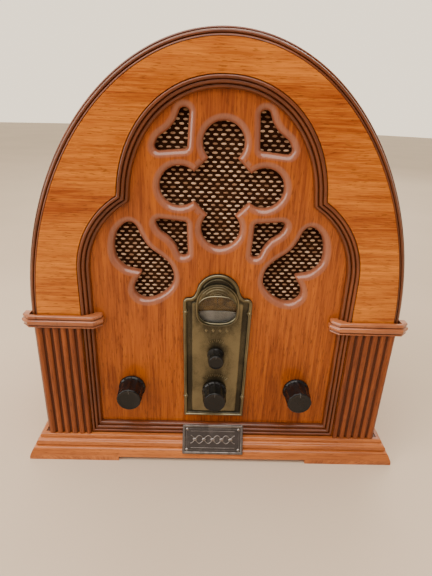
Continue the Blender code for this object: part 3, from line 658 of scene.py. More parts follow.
def plastic(name, colour, second, rough=(0.16, 0.30), grit=900.0, pits=0.08, coat=0.3,
            shine=0.5):
    made = Shader(name, Coat_Weight=coat, Coat_Roughness=0.08)
    made.bsdf.inputs["Specular IOR Level"].default_value = shine
    cloud = made.noise(made.places(70.0), 3.0, 0.6)
    fine = made.noise(made.places(grit), 3.0, 0.6)
    made.to("Base Color", made.mix(made.span(cloud, 0.35, 0.7), colour, second))
    made.to("Roughness", made.span(cloud, 0.3, 0.7, *rough))
    made.bump(fine, pits, 0.02)
    return made.mat


def fabric(name, colour, second, thread=(1500.0, 400.0), sheen=0.25):
    """Cloth yarn: fine twisted hairs along the thread, and a soft sheen."""
    made = Shader(name, Roughness=0.9, Sheen_Weight=sheen, Sheen_Roughness=0.5)
    made.bsdf.inputs["Specular IOR Level"].default_value = sheen
    across, along = thread
    hairs = made.noise(made.places((along, along, across)), 3.0, 0.6, 0.6)
    cloud = made.noise(made.places(60.0), 3.0, 0.5)
    both = made.maths("ADD", made.maths("MULTIPLY", hairs, 0.65),
                      made.maths("MULTIPLY", cloud, 0.35))
    both = made.maths("ADD", both, made.maths("MULTIPLY", made.value("stain_and_shade"), 0.5))
    made.to("Base Color", made.mix(made.span(both, 0.35, 0.75), colour, second))
    made.bump(hairs, 0.6, 0.08)
    return made.mat


def lens_material(name):
    """Clear dial glass with the faintest dust."""
    made = Shader(name, Transmission_Weight=1.0, IOR=1.22)
    made.bsdf.inputs["Base Color"].default_value = (0.97, 0.96, 0.92, 1.0)
    dust = made.noise(made.places(500.0), 4.0, 0.6)
    made.to("Roughness", made.span(dust, 0.55, 0.8, 0.0, 0.12))
    return made.mat


def dial_material(name):
    """Amber dial film, its tone varying at random, with a painted glow in place of the dial lamp's
    light.
    """
    made = Shader(name, Roughness=0.5)
    cloud = made.noise(made.places(110.0), 3.0, 0.6)
    colour = made.mix(made.span(cloud, 0.3, 0.7), (0.17, 0.092, 0.018), (0.055, 0.029, 0.008))
    made.to("Base Color", colour)
    # Painted glow: the film emits its own colour in place of light from the dial lamp, which emits
    # none
    made.to("Emission Color", colour)
    made.bsdf.inputs["Emission Strength"].default_value = 0.06
    return made.mat


ORANGE_WOOD = wood("orange_veneer", (0.66, 0.205, 0.018), (0.27, 0.050, 0.003), grain="X",
                   figure=0.8)
RED_WOOD = wood("red_brown_veneer", (0.47, 0.110, 0.005), (0.150, 0.024, 0.001), grain="Z",
                edge=(0.27, 0.098, 0.056), wet_edges=True)
SIDE_WOOD = wood("shell_veneer", (0.40, 0.090, 0.009), (0.15, 0.028, 0.004), grain="Y",
                 figure=0.8)
DARK_WOOD = wood("dark_moulding", (0.20, 0.048, 0.011), (0.070, 0.016, 0.004), grain="path",
                 gloss=0.7)
REED_WOOD = wood("reeded_wood", (0.31, 0.074, 0.013), (0.115, 0.023, 0.005), grain="Z")
CAPITAL_WOOD = wood("capital_wood", (0.48, 0.150, 0.045), (0.20, 0.052, 0.017), grain="path",
                    gloss=0.9)
BASE_WOOD = wood("base_wood", (0.56, 0.170, 0.038), (0.24, 0.058, 0.013), grain="path", gloss=0.6)
PLINTH_WOOD = wood("plinth_wood", (0.17, 0.042, 0.010), (0.06, 0.014, 0.004), grain="X")
PINE = raw_wood("raw_wood", (0.55, 0.38, 0.22), (0.34, 0.20, 0.10))
HARDBOARD = fibreboard("hardboard", (0.20, 0.115, 0.065), (0.10, 0.055, 0.032))
BRASS = metal("antique_brass", (0.205, 0.176, 0.104), (0.043, 0.039, 0.029), (0.30, 0.52),
              (60.0, 60.0, 38.0), age=0.36)
PEWTER = metal("dark_pewter", (0.300, 0.262, 0.240), (0.085, 0.072, 0.066), (0.34, 0.56),
               age=0.55)
BLACK = plastic("black_plastic", (0.005, 0.005, 0.005), (0.010, 0.009, 0.009),
                coat=0.12, shine=0.22)
STEEL = metal("plated_steel", (0.62, 0.61, 0.57), (0.34, 0.32, 0.28), (0.22, 0.42), age=0.4)
BLACK_STEEL = metal("black_steel", (0.07, 0.07, 0.07), (0.03, 0.03, 0.03), (0.4, 0.6), age=0.4)
ALUMINIUM = metal("aluminium", (0.80, 0.80, 0.81), (0.55, 0.55, 0.56), (0.22, 0.4), age=0.35)
FERRITE = plastic("ferrite", (0.06, 0.06, 0.065), (0.11, 0.11, 0.115), (0.5, 0.75), 500.0, 0.4,
                  0.0)
PAPER = fibreboard("cone_paper", (0.05, 0.046, 0.042), (0.025, 0.022, 0.020))
GREEN_BOARD = plastic("green_board", (0.035, 0.16, 0.06), (0.05, 0.22, 0.08), (0.3, 0.45), 600.0,
                      0.2, 0.3)
COPPER = metal("varnished_copper", (0.60, 0.24, 0.10), (0.26, 0.09, 0.04), (0.25, 0.4),
               (1500.0, 1500.0, 60.0))
FELT = fabric("dark_felt", (0.035, 0.030, 0.028), (0.075, 0.066, 0.060), (900.0, 900.0))
CLOTH = fabric("grille_cloth", (0.016, 0.006, 0.003), (0.045, 0.018, 0.008), sheen=0.0)
FLOATS = fabric("tan_yarn", (0.62, 0.40, 0.25), (0.22, 0.11, 0.055), (2600.0, 500.0),
                sheen=0.1)
LENS = lens_material("clear_lens")
DIAL_FILM = dial_material("amber_dial")
# Pointer ridge plastic, a lighter grey than the knob
GREY_RIDGE = plastic("grey_ridge_plastic", (0.045, 0.042, 0.040), (0.09, 0.085, 0.08), (0.4, 0.6), coat=0.0)
DARK_PAINT = plastic("dark_paint", (0.02, 0.014, 0.010), (0.035, 0.026, 0.02), (0.4, 0.6),
                     coat=0.0)
# Grey mask paint that also stands for the glare reflected in the dial glass: painted reflection
MASK_PAINT_AND_GLARE = plastic("mask_paint_and_glare", (0.13, 0.125, 0.115), (0.22, 0.21, 0.195), (0.35, 0.5),
                     coat=0.0)


# ---- cabinet ---------------------------------------------------------------------------
def groove_shade(profile, grooves, reach):
    """Painted shade: darkness that lies in the grooves of a profile and fades towards its crests.
    """
    stains_and_shades = []
    for left, out in profile:
        near = min((Vector((left, out)) - Vector(groove)).length for groove in grooves)
        stains_and_shades.append(max(0.0, 1.0 - near / reach))
    return stains_and_shades


def make_cabinet():
    bm = new_mesh()
    back = BACK_OUT + 1.5
    profile = [(0.0, -4.9), (EDGE_WIDTH, -4.9), (EDGE_WIDTH, back)]
    profile += [(1.2 - 1.2 * math.sin(a), back + 1.2 - 1.2 * math.cos(a))
                for a in (math.pi / 2 * k / 5 for k in range(6))]
    sweep(bm, arch(), profile, closed=False)
    piece("cabinet_wrap", bm, SIDE_WOOD, "cabinet_shell", slot="brown_wood")

    beads = runs([(0.0, -4.6), (0.0, -1.5), (0.0, 1.0)],
                 [(0.0, 1.0), (0.25, 2.1), (1.0, 2.75), (1.7, 2.5), (2.0, 2.0)],
                 [(2.0, 2.0), (2.1, 3.6)],
                 [(2.1, 3.6), (2.2, 5.2), (2.8, 6.4), (3.6, 6.75), (4.4, 6.4), (4.9, 5.3)],
                 [(4.9, 5.3), (5.1, 6.4), (5.7, 7.2), (EDGE_WIDTH, FRAME_OUT)],
                 [(EDGE_WIDTH, FRAME_OUT), (EDGE_WIDTH, -4.6)])
    bm = new_mesh()
    # Painted shade in the grooves between the beads and at the back corner
    dips = [(0.0, -4.6), (2.0, 2.0), (4.9, 5.3)]
    sweep(bm, arch(), beads, closed=False, stains_and_shades=groove_shade(beads, dips, 1.5))
    piece("arch_edge_moulding", bm, DARK_WOOD, "arch_moulding", slot="dark_wood")

    bm = new_mesh()
    edge = offset(arch(), EDGE_WIDTH + GAP, closed=False)
    lip, steps = 0.6, 3
    rows = []
    for k in range(steps + 1):
        a = math.pi / 2 * k / steps
        inner = spread(opening(), GAP + lip * (1 - math.sin(a)))
        inner = [(x, max(z, FLOOR_Z)) for x, z in inner][::-1]
        shades = [0.0] * len(edge) + [0.3 * k / steps] * len(inner)
        rows.append(flat(bm, edge + inner, FRAME_OUT - lip * (1 - math.cos(a)), shades))
    rows.append(flat(bm, edge + inner, GAP, 0.6))
    solid(bm, rows, axes=(0, 1))
    piece("front_arch_board", bm, ORANGE_WOOD, "front_frame", slot="orange_veneer")

    triple = runs([(0.0, GAP), (0.0, 6.4)],
                  [(0.0, 6.4), (0.3, 7.4), (1.0, 7.8), (1.9, 7.75), (2.5, 7.2), (2.7, 5.9)],
                  [(2.7, 5.9), (2.9, 5.4)],
                  [(2.9, 5.4), (3.2, 6.1), (3.9, 6.4), (4.9, 6.1), (5.5, 5.2), (5.7, 3.7)],
                  [(5.7, 3.7), (5.9, 3.2)],
                  [(5.9, 3.2), (6.2, 3.9), (6.9, 4.1), (7.9, 3.7), (8.6, 2.5), (RING_WIDTH, GAP)])
    bm = new_mesh()
    rail = opening()
    # Painted shade in the grooves between the three beads and where they meet the board
    dips = [(0.0, GAP), (2.8, 5.6), (5.8, 3.4), (RING_WIDTH, GAP)]
    sweep(bm, rail, triple, closed=True, stains_and_shades=groove_shade(triple, dips, 1.7))
    piece("triple_bead_moulding", bm, DARK_WOOD, "inner_moulding", slot="dark_wood")


def make_front_panel():
    edge = offset(arch(), EDGE_WIDTH + GAP, closed=False)
    fretwork = [rose()] + [ear(side, up) for side in (-1, 1) for up in (-1, 1)]
    fretwork += [kidney(side) for side in (-1, 1)]
    spots = [(0.0, TUNING_Z), (0.0, TONE_Z), (-KNOB_X, KNOB_Z), (KNOB_X, KNOB_Z)]
    bores = [circle(0.0, DIAL_Z, DIAL_HOLE_R, 64)] + [circle(x, z, PANEL_BORE_R, 24)
                                                        for x, z in spots]
    bm = new_mesh()
    lips = [(outline, LIP_WIDTH, LIP_DEPTH, LIP_STAINS) for outline in fretwork]
    board(bm, -PANEL_THICK, 0.0, sharp_cuts(edge) + lips + sharp_cuts(*bores), steps=7)
    piece("fretted_panel", bm, RED_WOOD, "front_panel", slot="red_veneer")


def make_grille():
    """Brown cloth drawn tight behind the fretwork, with tan yarn floats in offset rows."""
    notch_half, notch_z, foot_z, inset = 34.0, 184.5, 150.0, 14.0
    top = [point for point in offset(arch(), inset, closed=False) if point[1] > foot_z]
    half = top[0][0]

    def height(x):
        """Top of the cloth above a place across."""
        for (x0, z0), (x1, z1) in zip(top, top[1:]):
            if x1 <= x <= x0:
                return z0 + (z1 - z0) * (x0 - x) / max(x0 - x1, 1e-9)
        return foot_z

    warp, per_thread, rib, base = 1.5, 4, 0.09, -8.72
    count = int(half / warp)
    bm = new_mesh()
    rows = []
    for i in range(-count * per_thread, count * per_thread + 1):
        x = i * warp / per_thread
        low = notch_z if abs(x) < notch_half else foot_z
        high = height(x)
        out = base + rib * math.cos(2 * math.pi * x / warp)
        rows.append(ring(bm, [(x, low + (high - low) * k / 6, out) for k in range(7)]))
    skin(bm, rows, around=False)
    cloth = piece("woven_grille_cloth", bm, CLOTH, "grille_cloth", slot="grille_cloth",
                  sharp=80.0)

    pitch_x, pitch_z, long, tall = 6.35, 3.33, 2.05, 0.88
    dice = random.Random(7)
    bm = new_mesh()
    row = 0
    z = foot_z + 2.0
    while z < max(point[1] for point in top) - 1.5:
        shift = pitch_x / 2 if row % 2 else 0.0
        columns = int(half / pitch_x) + 1
        for i in range(-columns, columns + 1):
            x = i * pitch_x + shift
            inside = abs(x) < half - 2.5 and z < height(x) - 1.5
            notched = abs(x) < notch_half + 2.0 and z < notch_z + 1.0
            if not inside or notched:
                continue
            size = dice.uniform(0.86, 1.1)
            dome(bm, x + dice.uniform(-0.18, 0.18), z + dice.uniform(-0.12, 0.12), long * size,
                 tall * dice.uniform(0.88, 1.08), base, 0.6, sides=10, levels=3,
                 turn=dice.uniform(-0.07, 0.07), shade=dice.uniform(-0.4, 0.5))
        z += pitch_z
        row += 1
    floats = piece("woven_grille_floats", bm, FLOATS, slot="grille_cloth", sharp=80.0)

    corners = [(top[-1][0], foot_z), (-notch_half, foot_z), (-notch_half, notch_z),
               (notch_half, notch_z), (notch_half, foot_z), (half, foot_z)]
    flat_area = abs(area_of(top + corners)) * MM * MM


def make_pilasters():
    """Reeded pilasters: low rounded reeds between soft-edged grooves, with painted shade in the
    grooves, on the reed edges beside them and on both side faces.
    """
    first, pitch, grooves, crest = 120.0, 6.75, 5, 10.6
    left, right, low_out = 114.8, 153.4, FRAME_OUT + GAP
    groove_half, groove_depth, crown = 0.95, 1.1, 1.2
    # Painted shade: the side faces are darkened (0.7 and 0.6), the reed edges more towards the
    # grooves, the grooves most (0.95)
    plan, stains_and_shades = [(left, low_out), (left, crest - 2.6)], [0.7, 0.7]

    edges = [left] + [first + pitch * k for k in range(grooves)] + [right]
    for i, (start, end) in enumerate(zip(edges, edges[1:])):
        x0 = start + (groove_half if i else 0.0)
        x1 = end - (groove_half if i < grooves else 0.0)
        middle, half = (x0 + x1) / 2, (x1 - x0) / 2
        for k in range(15):
            a = math.pi * k / 14
            x = middle - half * math.copysign(abs(math.cos(a)) ** 0.8, math.cos(a))
            lift = (1.0 - abs((x - middle) / half) ** 2.6) * crown
            plan.append((x, crest - crown + lift))
            # Painted shade on the reed edges, deepening towards the grooves
            stains_and_shades.append(0.75 * max(0.0, abs((x - middle) / half) - 0.62) / 0.38)
        if i < grooves:
            for k in range(1, 6):
                a = math.pi * k / 6
                plan.append((end - groove_half * math.cos(a),
                             crest - crown - groove_depth * math.sin(a) ** 0.7))
                # Painted shade in the groove
                stains_and_shades.append(0.95)
    plan += [(right, low_out)]
    stains_and_shades += [0.6]
    low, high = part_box("right_pilaster")[0].z / MM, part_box("right_pilaster")[1].z / MM
    for name, side in (("right", 1), ("left", -1)):
        bm = new_mesh()
        rows = [ring(bm, [(side * x, z, out) for x, out in plan], stains_and_shades)
                for z in (low, low + 0.01 + (high - low) / 2, high)]
        solid(bm, rows, axes=(0, 2))
        piece(f"{name}_reeded_pilaster", bm, REED_WOOD, f"{name}_pilaster", slot="brown_wood")


def make_capitals():
    """Half-octagonal blocks: fillet, big torus, cove and top bead, mitred at the corners."""
    low, high, depth, chamfer = 96.6, 165.2, 12.6, 7.0
    levels = runs([(1.8, 135.0), (1.2, 135.1), (0.9, 135.6), (1.2, 136.2), (1.8, 136.4)],
                  [(1.8, 136.4), (1.9, 136.7), (1.7, 137.0)],
                  [(1.7, 137.0), (0.7, 137.5), (0.1, 138.6), (0.0, 139.6), (0.35, 140.8),
                   (1.2, 141.7), (1.9, 142.0)],
                  [(1.9, 142.0), (2.1, 142.3), (1.9, 142.6)],
                  [(1.9, 142.6), (1.3, 142.9), (1.1, 143.6), (1.3, 144.5), (1.8, 145.2),
                   (2.4, 145.6)], steps=4)
    dips = [(1.9, 136.7), (2.1, 142.3)]
    back = [(157.8, GAP), (157.8, 8.2), (113.0, 8.2), (104.6, 2.6), (104.6, GAP)]
    for name, side in (("right", 1), ("left", -1)):
        bm = new_mesh()
        rows = []
        for inset, z in levels:
            slope = inset * math.tan(math.radians(22.5))
            front = [(low + inset, GAP), (low + inset, depth - chamfer - slope),
                     (low + chamfer + slope, depth - inset),
                     (high - chamfer - slope, depth - inset),
                     (high - inset, depth - chamfer - slope), (high - inset, GAP)]
            # Painted shade in the grooves below and above the big torus
            dark = groove_shade([(inset, z)], dips, 1.1)[0]
            rows.append(ring(bm, [(side * x, z, out) for x, out in front + back], dark))
        grains = bm.verts.layers.float_vector["grain"]
        for row in rows:
            for vert in row:
                vert[grains] = (vert.co.z * MM, 0.0, vert.co.x * MM)
        solid(bm, rows, axes=(0, 2))
        piece(f"{name}_moulded_capital", bm, CAPITAL_WOOD, f"{name}_capital", slot="brown_wood")


def make_base():
    profile = runs([(GAP, 22.0), (1.6, 22.0), (2.8, 22.0)],
                   [(2.8, 22.0), (3.6, 21.6), (4.2, 20.8), (4.5, 19.8)],
                   [(4.5, 19.8), (4.2, 18.6), (4.5, 17.5), (5.4, 16.9), (6.0, 16.7)],
                   [(6.0, 16.7), (6.9, 16.2), (7.7, 15.1), (8.0, 13.7), (7.8, 12.4), (7.2, 11.4)],
                   [(7.2, 11.4), (8.2, 11.2), (9.4, 10.7), (10.4, 9.7)],
                   [(10.4, 9.7), (11.0, 8.6), (12.0, 6.4), (12.9, 4.2), (13.3, 2.4), (13.4, 0.0)],
                   [(13.4, 0.0), (GAP, 0.0)], steps=4)
    back, front = FACE_Y - BACK_OUT, FACE_Y - FRAME_OUT
    path = [(HALF_WIDTH, back), (HALF_WIDTH, front), (-HALF_WIDTH, front), (-HALF_WIDTH, back)]
    bm = new_mesh()
    sweep(bm, path, profile, closed=False)
    item = piece("moulded_base", bm, BASE_WOOD, "base_moulding", slot="brown_wood", drawn=PLAN)
    relief = 4.0
    side_low, side_high = -62.0, 66.0
    carved(item, ((-88.0, front - 30.0, -5.0), (88.0, front - 0.1, relief)),
           ((HALF_WIDTH + 0.1, side_low, -5.0), (HALF_WIDTH + 30.0, side_high, relief)),
           ((-HALF_WIDTH - 30.0, side_low, -5.0), (-HALF_WIDTH - 0.1, side_high, relief)))

    for depth in ("front", "back"):
        for side in ("left", "right"):
            node = f"{depth}_{side}_foot"
            low, high = (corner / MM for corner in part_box(node))
            middle, radius, tall = (low + high) / 2, (high.x - low.x) / 2, high.z - low.z
            pad = runs([(0.0, 0.0), (radius * 0.8, 0.0)],
                       [(radius * 0.8, 0.0), (radius * 0.93, 0.4), (radius, 1.8), (radius, 3.0),
                        (radius * 0.93, tall - 0.4), (radius * 0.88, tall)],
                       [(radius * 0.88, tall), (0.0, tall)])
            bm = new_mesh()
            lathe(bm, pad, 32, (middle.x, middle.y))
            piece(f"{depth}_{side}_felt_pad", bm, FELT, node, slot="felt", drawn=PLAN)


# ---- dial escutcheon -------------------------------------------------------------------
def relief_bar(bm, path, width, low, rise, shade=0.0):
    """Raised bar with a rounded top along an open path."""
    profile = [(-width / 2, low)] + [(width / 2 * math.cos(a), low + rise * math.sin(a))
                                     for a in (math.pi * (1 - k / 8) for k in range(1, 8))]
    profile += [(width / 2, low)]
    sweep(bm, path, profile, closed=False, stains_and_shades=[shade] * len(profile))


def make_escutcheon():
    """Antique cast plate: bright rim, dark channel, raised field, hood and window bezel."""
    outline = plate_outline()
    bm = new_mesh()
    rim = runs([(0.0, GAP), (0.0, 2.3)],
               [(0.0, 2.3), (0.2, 3.1), (0.8, 3.65), (1.5, 3.6), (2.0, 3.0)],
               [(2.0, 3.0), (2.3, 3.0)],
               [(2.3, 3.0), (2.9, 2.6), (3.3, 1.8), (3.5, 1.2)],
               [(3.5, 1.2), (3.5, GAP)], steps=4)
    stains_and_shades = [0.0 if out > 2.9 else 0.55 for _, out in rim]
    sweep(bm, outline, rim, closed=True, stains_and_shades=stains_and_shades)

    floor_low, floor_out, field_low, channel = 0.4, 1.3, 1.25, 3.0
    bores = [window_outline()] + [circle(0.0, z, PLATE_BORE_R, 32) for z in (TUNING_Z, TONE_Z)]
    board(bm, floor_low, floor_out, sharp_cuts(spread(outline, -channel), *bores, stain_and_shade=0.65))

    sides = rounded([(0.0, 44.6), (20.6, 44.6), (21.6, 133.0), (22.0, 158.0), (17.0, 158.0)],
                    [0.0, 2.0, 0.0, 2.0, 0.0])[1:]
    field = sides + arc(0.0, HOOD_Z, 17.0, 4.0, 176.0, 40) + mirrored(sides)
    skirt = [flat(bm, spread(field, -inset), level, shade)
             for inset, level, shade in ((1.3, FIELD_OUT, 0.1), (0.7, 2.0, 0.2),
                                         (0.2, 1.7, 0.4), (0.0, field_low, 0.6))]
    skin(bm, skirt)
    loops = [skirt[0]]
    for hole, shade in ((bores[1], 0.3), (bores[2], 0.3), (window_outline(0.3), 0.5)):
        rows = [flat(bm, hole, level, shade) for level in (FIELD_OUT, field_low)]
        skin(bm, rows)
        loops.append(rows[0])
    fill(bm, *loops)

    bead = [(-0.75, 1.0), (-0.75, 2.5), (-0.45, 3.1), (0.0, 3.3), (0.45, 3.1), (0.75, 2.5),
            (0.75, 1.0)]
    sweep(bm, bezel_outline(), bead, closed=True, stains_and_shades=[0.6, 0.2, 0.0, 0.0, 0.0, 0.2, 0.6])
    thin = [(-0.35, 1.4), (-0.35, 2.5), (0.0, 2.85), (0.35, 2.5), (0.35, 1.4)]
    sweep(bm, window_outline(0.55), thin, closed=True)

    for radius, width, level in ((15.6, 1.5, 2.5), (13.2, 1.3, 2.35), (10.9, 1.1, 2.25),
                                 (8.8, 0.9, 2.2)):
        lowest = WINDOW_RISE + 1.2 - HOOD_RISE
        lift = math.degrees(math.asin(min(0.99, lowest / radius)))
        relief_bar(bm, arc(0.0, HOOD_Z, radius, lift + 6.0, 174.0 - lift, 28), width,
                   level - 1.0, 1.3)
    relief_bar(bm, arc(0.0, HEAD_Z, 13.6, 28.0, 152.0, 28), 1.0, 1.2, 0.9)
    make_plate_ornament(bm)
    piece("cast_dial_plate", bm, BRASS, "dial_escutcheon", slot="old_brass")


def make_plate_ornament(bm):
    """Plain relief in place of any lettering: lozenges, ticks, and pins at the sides."""
    for x in (-9.0, -3.0, 3.0, 9.0):
        dome(bm, x, 131.4, 1.5, 2.1, FIELD_OUT - 0.1, 0.7, sides=4, levels=3, shade=-0.5)
    for radius, low, high, count, long, at in ((15.0, 62.0, 118.0, 9, 1.5, TONE_Z),
                                               (17.6, 50.0, 130.0, 13, 1.6, TUNING_Z)):
        for k in range(count):
            a = math.radians(low + (high - low) * k / (count - 1))
            reach = long if k % 2 else long * 1.7
            ends = [(r * math.cos(a), at + r * math.sin(a)) for r in (radius - reach, radius)]
            relief_bar(bm, ends, 0.7, FIELD_OUT - 0.1, 0.6, -0.5)
    for x, z in ((27.4, 149.0), (26.3, 62.5)):
        for side in (-1, 1):
            for k in range(6):
                a = 2 * math.pi * k / 6
                dome(bm, side * x + 1.25 * math.cos(a), z + 1.9 * math.sin(a), 0.95, 1.15,
                     2.2, 1.5, sides=12, levels=3, shade=-0.5)
            dome(bm, side * x, z, 1.25, 1.6, 2.2, 2.1, sides=16, levels=4, shade=-0.6)


def make_dial():
    """Dial film with its scale, mask, glass and pointer, behind the window."""
    bm = new_mesh()
    film, film_r, tick_low, number_r = -4.6, 17.8, -4.62, 10.9
    lathe(bm, [(0.0, film), (film_r - 0.8, film), (film_r, film - 0.15), (film_r, -6.0),
               (0.0, -6.0)], 72, (0.0, DIAL_Z))
    piece("dial_film", bm, DIAL_FILM, "dial_face", slot="amber", body="dial_drive")

    bm = new_mesh()
    for k in range(61):
        a = math.radians(6.0 * k)
        inner = 13.4 if k % 5 == 0 else 14.6
        ends = [(r * math.cos(a), DIAL_Z + r * math.sin(a)) for r in (inner, 16.2)]
        relief_bar(bm, ends, 0.34 if k % 5 == 0 else 0.2, tick_low, 0.06)
    for radius in (13.0, 16.4):
        relief_bar(bm, arc(0.0, DIAL_Z, radius, 0.0, 359.0, 90), 0.25, tick_low, 0.06)
    piece("dial_scale_ticks", bm, DARK_PAINT, slot="amber", body="dial_drive")
    for k in range(12):
        a = math.radians(30.0 * k)
        curve = bpy.data.curves.new("dial_number", "FONT")
        curve.body = str(5 + k)
        curve.size, curve.extrude = 3.0 * MM, 0.02 * MM
        curve.align_x = curve.align_y = "CENTER"
        text = placed(f"dial_number_{5 + k}", curve)
        at = (number_r * MM * math.cos(a), (FACE_Y + 4.57) * MM,
              (DIAL_Z + number_r * math.sin(a)) * MM)
        text.matrix_world = (Matrix.Translation(at)
                             @ Matrix.Rotation(math.pi / 2, 4, "X")
                             @ Matrix.Rotation(a - math.pi / 2, 4, "Z"))
        curve.materials.append(DARK_PAINT)
        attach(text, "dial_drive")

    bm = new_mesh()
    lower = arc(0.0, DIAL_Z, DIAL_HOLE_R - GAP, 197.0, 343.0, 40)
    smile = through([(17.4, 147.0), (9.0, 147.9), (0.0, 148.2), (-9.0, 147.9), (-17.4, 147.0)], 6)
    outline = lower + smile[1:-1]
    mask_low, mask_out, lip = -3.4, -2.6, 0.3
    board(bm, mask_low, mask_out, [(outline, -lip, lip, (0.0, 0.2 / 3, 0.4 / 3, 0.2, 0.2))])
    # Its grey is partly a painted reflection of the glare on the glass
    piece("lower_dial_mask", bm, MASK_PAINT_AND_GLARE, "dial_mask", slot="steel")

    bm = new_mesh()
    profile = [(0.0, -0.1), (6.0, -0.14), (11.0, -0.28), (15.0, -0.48), (17.6, -0.66),
               (18.5, -0.85), (DIAL_HOLE_R - GAP, -1.1), (DIAL_HOLE_R - GAP, -1.6),
               (17.6, -1.5), (15.0, -1.3), (11.0, -1.1), (6.0, -0.96), (0.0, -0.92)]
    lathe(bm, profile, 72, (0.0, DIAL_Z))
    piece("domed_dial_lens", bm, LENS, "dial_lens", slot="clear", sharp=60.0)

    bm = new_mesh()
    pointer_out = -2.3
    tube(bm, [(0.0, DIAL_Z + reach, pointer_out) for reach in (4.0, 9.0, 15.5)], 0.22, 10)
    piece("dial_pointer", bm, DARK_PAINT, slot="black_steel")


def make_nameplate():
    """Small cast plate that leans back, with a beaded border and a plain scroll."""
    lean = math.radians(29.4)
    half, tall, thick, border = 28.5, 27.0, 1.6, 2.2
    floor = thick - 0.6
    bottom_out, bottom_z = 19.1, 8.2
    bm = new_mesh()
    edge = rounded(rectangle(-half, 0.0, half, tall), [1.0] * 4, 4)
    inner = rounded(rectangle(-half + border, border, half - border, tall - border), [1.0] * 4, 4)
    rows = [flat(bm, edge, 0.0, 0.4),
            flat(bm, edge, thick - 0.5, 0.2),
            flat(bm, offset(edge, 0.3), thick - 0.1, 0.0),
            flat(bm, offset(edge, 0.7), thick, 0.0),
            flat(bm, offset(inner, -0.3), thick, 0.0),
            flat(bm, inner, thick - 0.15, 0.3),
            flat(bm, offset(inner, 0.3), floor, 0.7)]
    solid(bm, rows)
    thin = rounded(rectangle(-half + 3.7, 3.7, half - 3.7, tall - 3.7), [0.8] * 4, 3)
    sweep(bm, thin, [(-0.25, floor - 0.1), (-0.2, floor + 0.3), (0.2, floor + 0.3),
                     (0.25, floor - 0.1)], closed=True)
    for turn in (-1, 1):
        wave = [(x, tall / 2 + turn * 3.6 * math.sin(math.pi * x / 8.4))
                for x in (0.6 * k - 21.0 for k in range(71))]
        relief_bar(bm, wave, 0.9, floor - 0.1, 0.6, -0.2)
    for k in range(5):
        dome(bm, 8.4 * k - 16.8, tall / 2, 2.0, 1.5, floor - 0.1, 0.7, sides=20, shade=-0.2)
    for x in (-24.3, 24.3):
        for y in (4.2, 22.8):
            dome(bm, x, y, 1.5, 1.5, floor - 0.1, 1.0, sides=20, levels=5, shade=-0.3)
    for y in (5.9, tall - 5.9):
        relief_bar(bm, [(-20.5, y), (20.5, y)], 0.45, floor - 0.1, 0.45, -0.1)
    place = (Matrix.Translation((0.0, FACE_Y - bottom_out, bottom_z))
             @ Matrix.Rotation(math.pi / 2 - lean, 4, "X"))
    piece("cast_nameplate", bm, PEWTER, "nameplate", slot="pewter", drawn=place)


# ---- knobs -----------------------------------------------------------------------------
def make_knob(kind, x, z, radius, low, high, flutes):
    """Moulded knob: skirt, soft flutes, rounded shoulder and a shallow dished face."""
    ridge = 0.33
    high -= ridge
    sides = flutes * 14
    span = high - low
    levels = [(SHAFT_BORE, high - 6.0, 0.0), (SHAFT_BORE, low, 0.0), (radius - 0.5, low, 0.0),
              (radius - 0.1, low + 0.15, 0.0), (radius, low + 0.6, 0.0),
              (radius, low + 2.0, 0.0), (radius - 0.25, low + 2.5, 0.1),
              (radius * 0.955, low + 3.2, 0.9), (radius * 0.945, low + span * 0.45, 1.0),
              (radius * 0.93, low + span * 0.7, 1.0), (radius * 0.92, high - 2.4, 0.85),
              (radius * 0.905, high - 1.5, 0.5), (radius * 0.885, high - 0.8, 0.2),
              (radius * 0.85, high - 0.25, 0.05), (radius * 0.80, high, 0.0),
              (radius * 0.76, high - 0.05, 0.0), (radius * 0.72, high - 0.3, 0.0),
              (radius * 0.55, high - 0.55, 0.0), (radius * 0.2, high - 0.7, 0.0)]
    depth = radius * 0.085
    bm = new_mesh()
    rows = []
    for reach, level, share in levels:
        points = []
        for k in range(sides):
            a = 2 * math.pi * k / sides
            dip = depth * share * abs(math.sin(flutes * a / 2)) ** 0.8
            points.append((x + (reach - dip) * math.cos(a), z + (reach - dip) * math.sin(a),
                           level))
        rows.append(ring(bm, points))
    solid(bm, rows)
    name, body = f"{kind}_control_knob", f"{kind}_dial"
    piece(name, bm, BLACK, f"{kind}_knob", slot="black_plastic", body=body, sharp=42.0)

    bm = new_mesh()
    line = [(x, z + radius * 0.52, high - 0.50), (x, z + radius * 0.66, high - 0.36),
            (x, z + radius * 0.77, high - 0.02), (x, z + radius * 0.84, high - 0.16)]
    tube(bm, line, ridge, 8)
    piece(f"{name}_pointer", bm, GREY_RIDGE, slot="black_plastic", body=body)


def make_knobs():
    for name, x, z, radius, low, high, flutes in (
            ("volume", -KNOB_X, KNOB_Z, KNOB_R, OVER_PANEL, KNOB_FACE, 12),
            ("band", KNOB_X, KNOB_Z, KNOB_R, OVER_PANEL, KNOB_FACE, 12),
            ("tone", 0.0, TONE_Z, TONE_R, OVER_PLATE, TONE_FACE, 10),
            ("tuning", 0.0, TUNING_Z, TUNING_R, OVER_PLATE, KNOB_FACE, 12)):
        make_knob(name, x, z, radius, low, high, flutes)


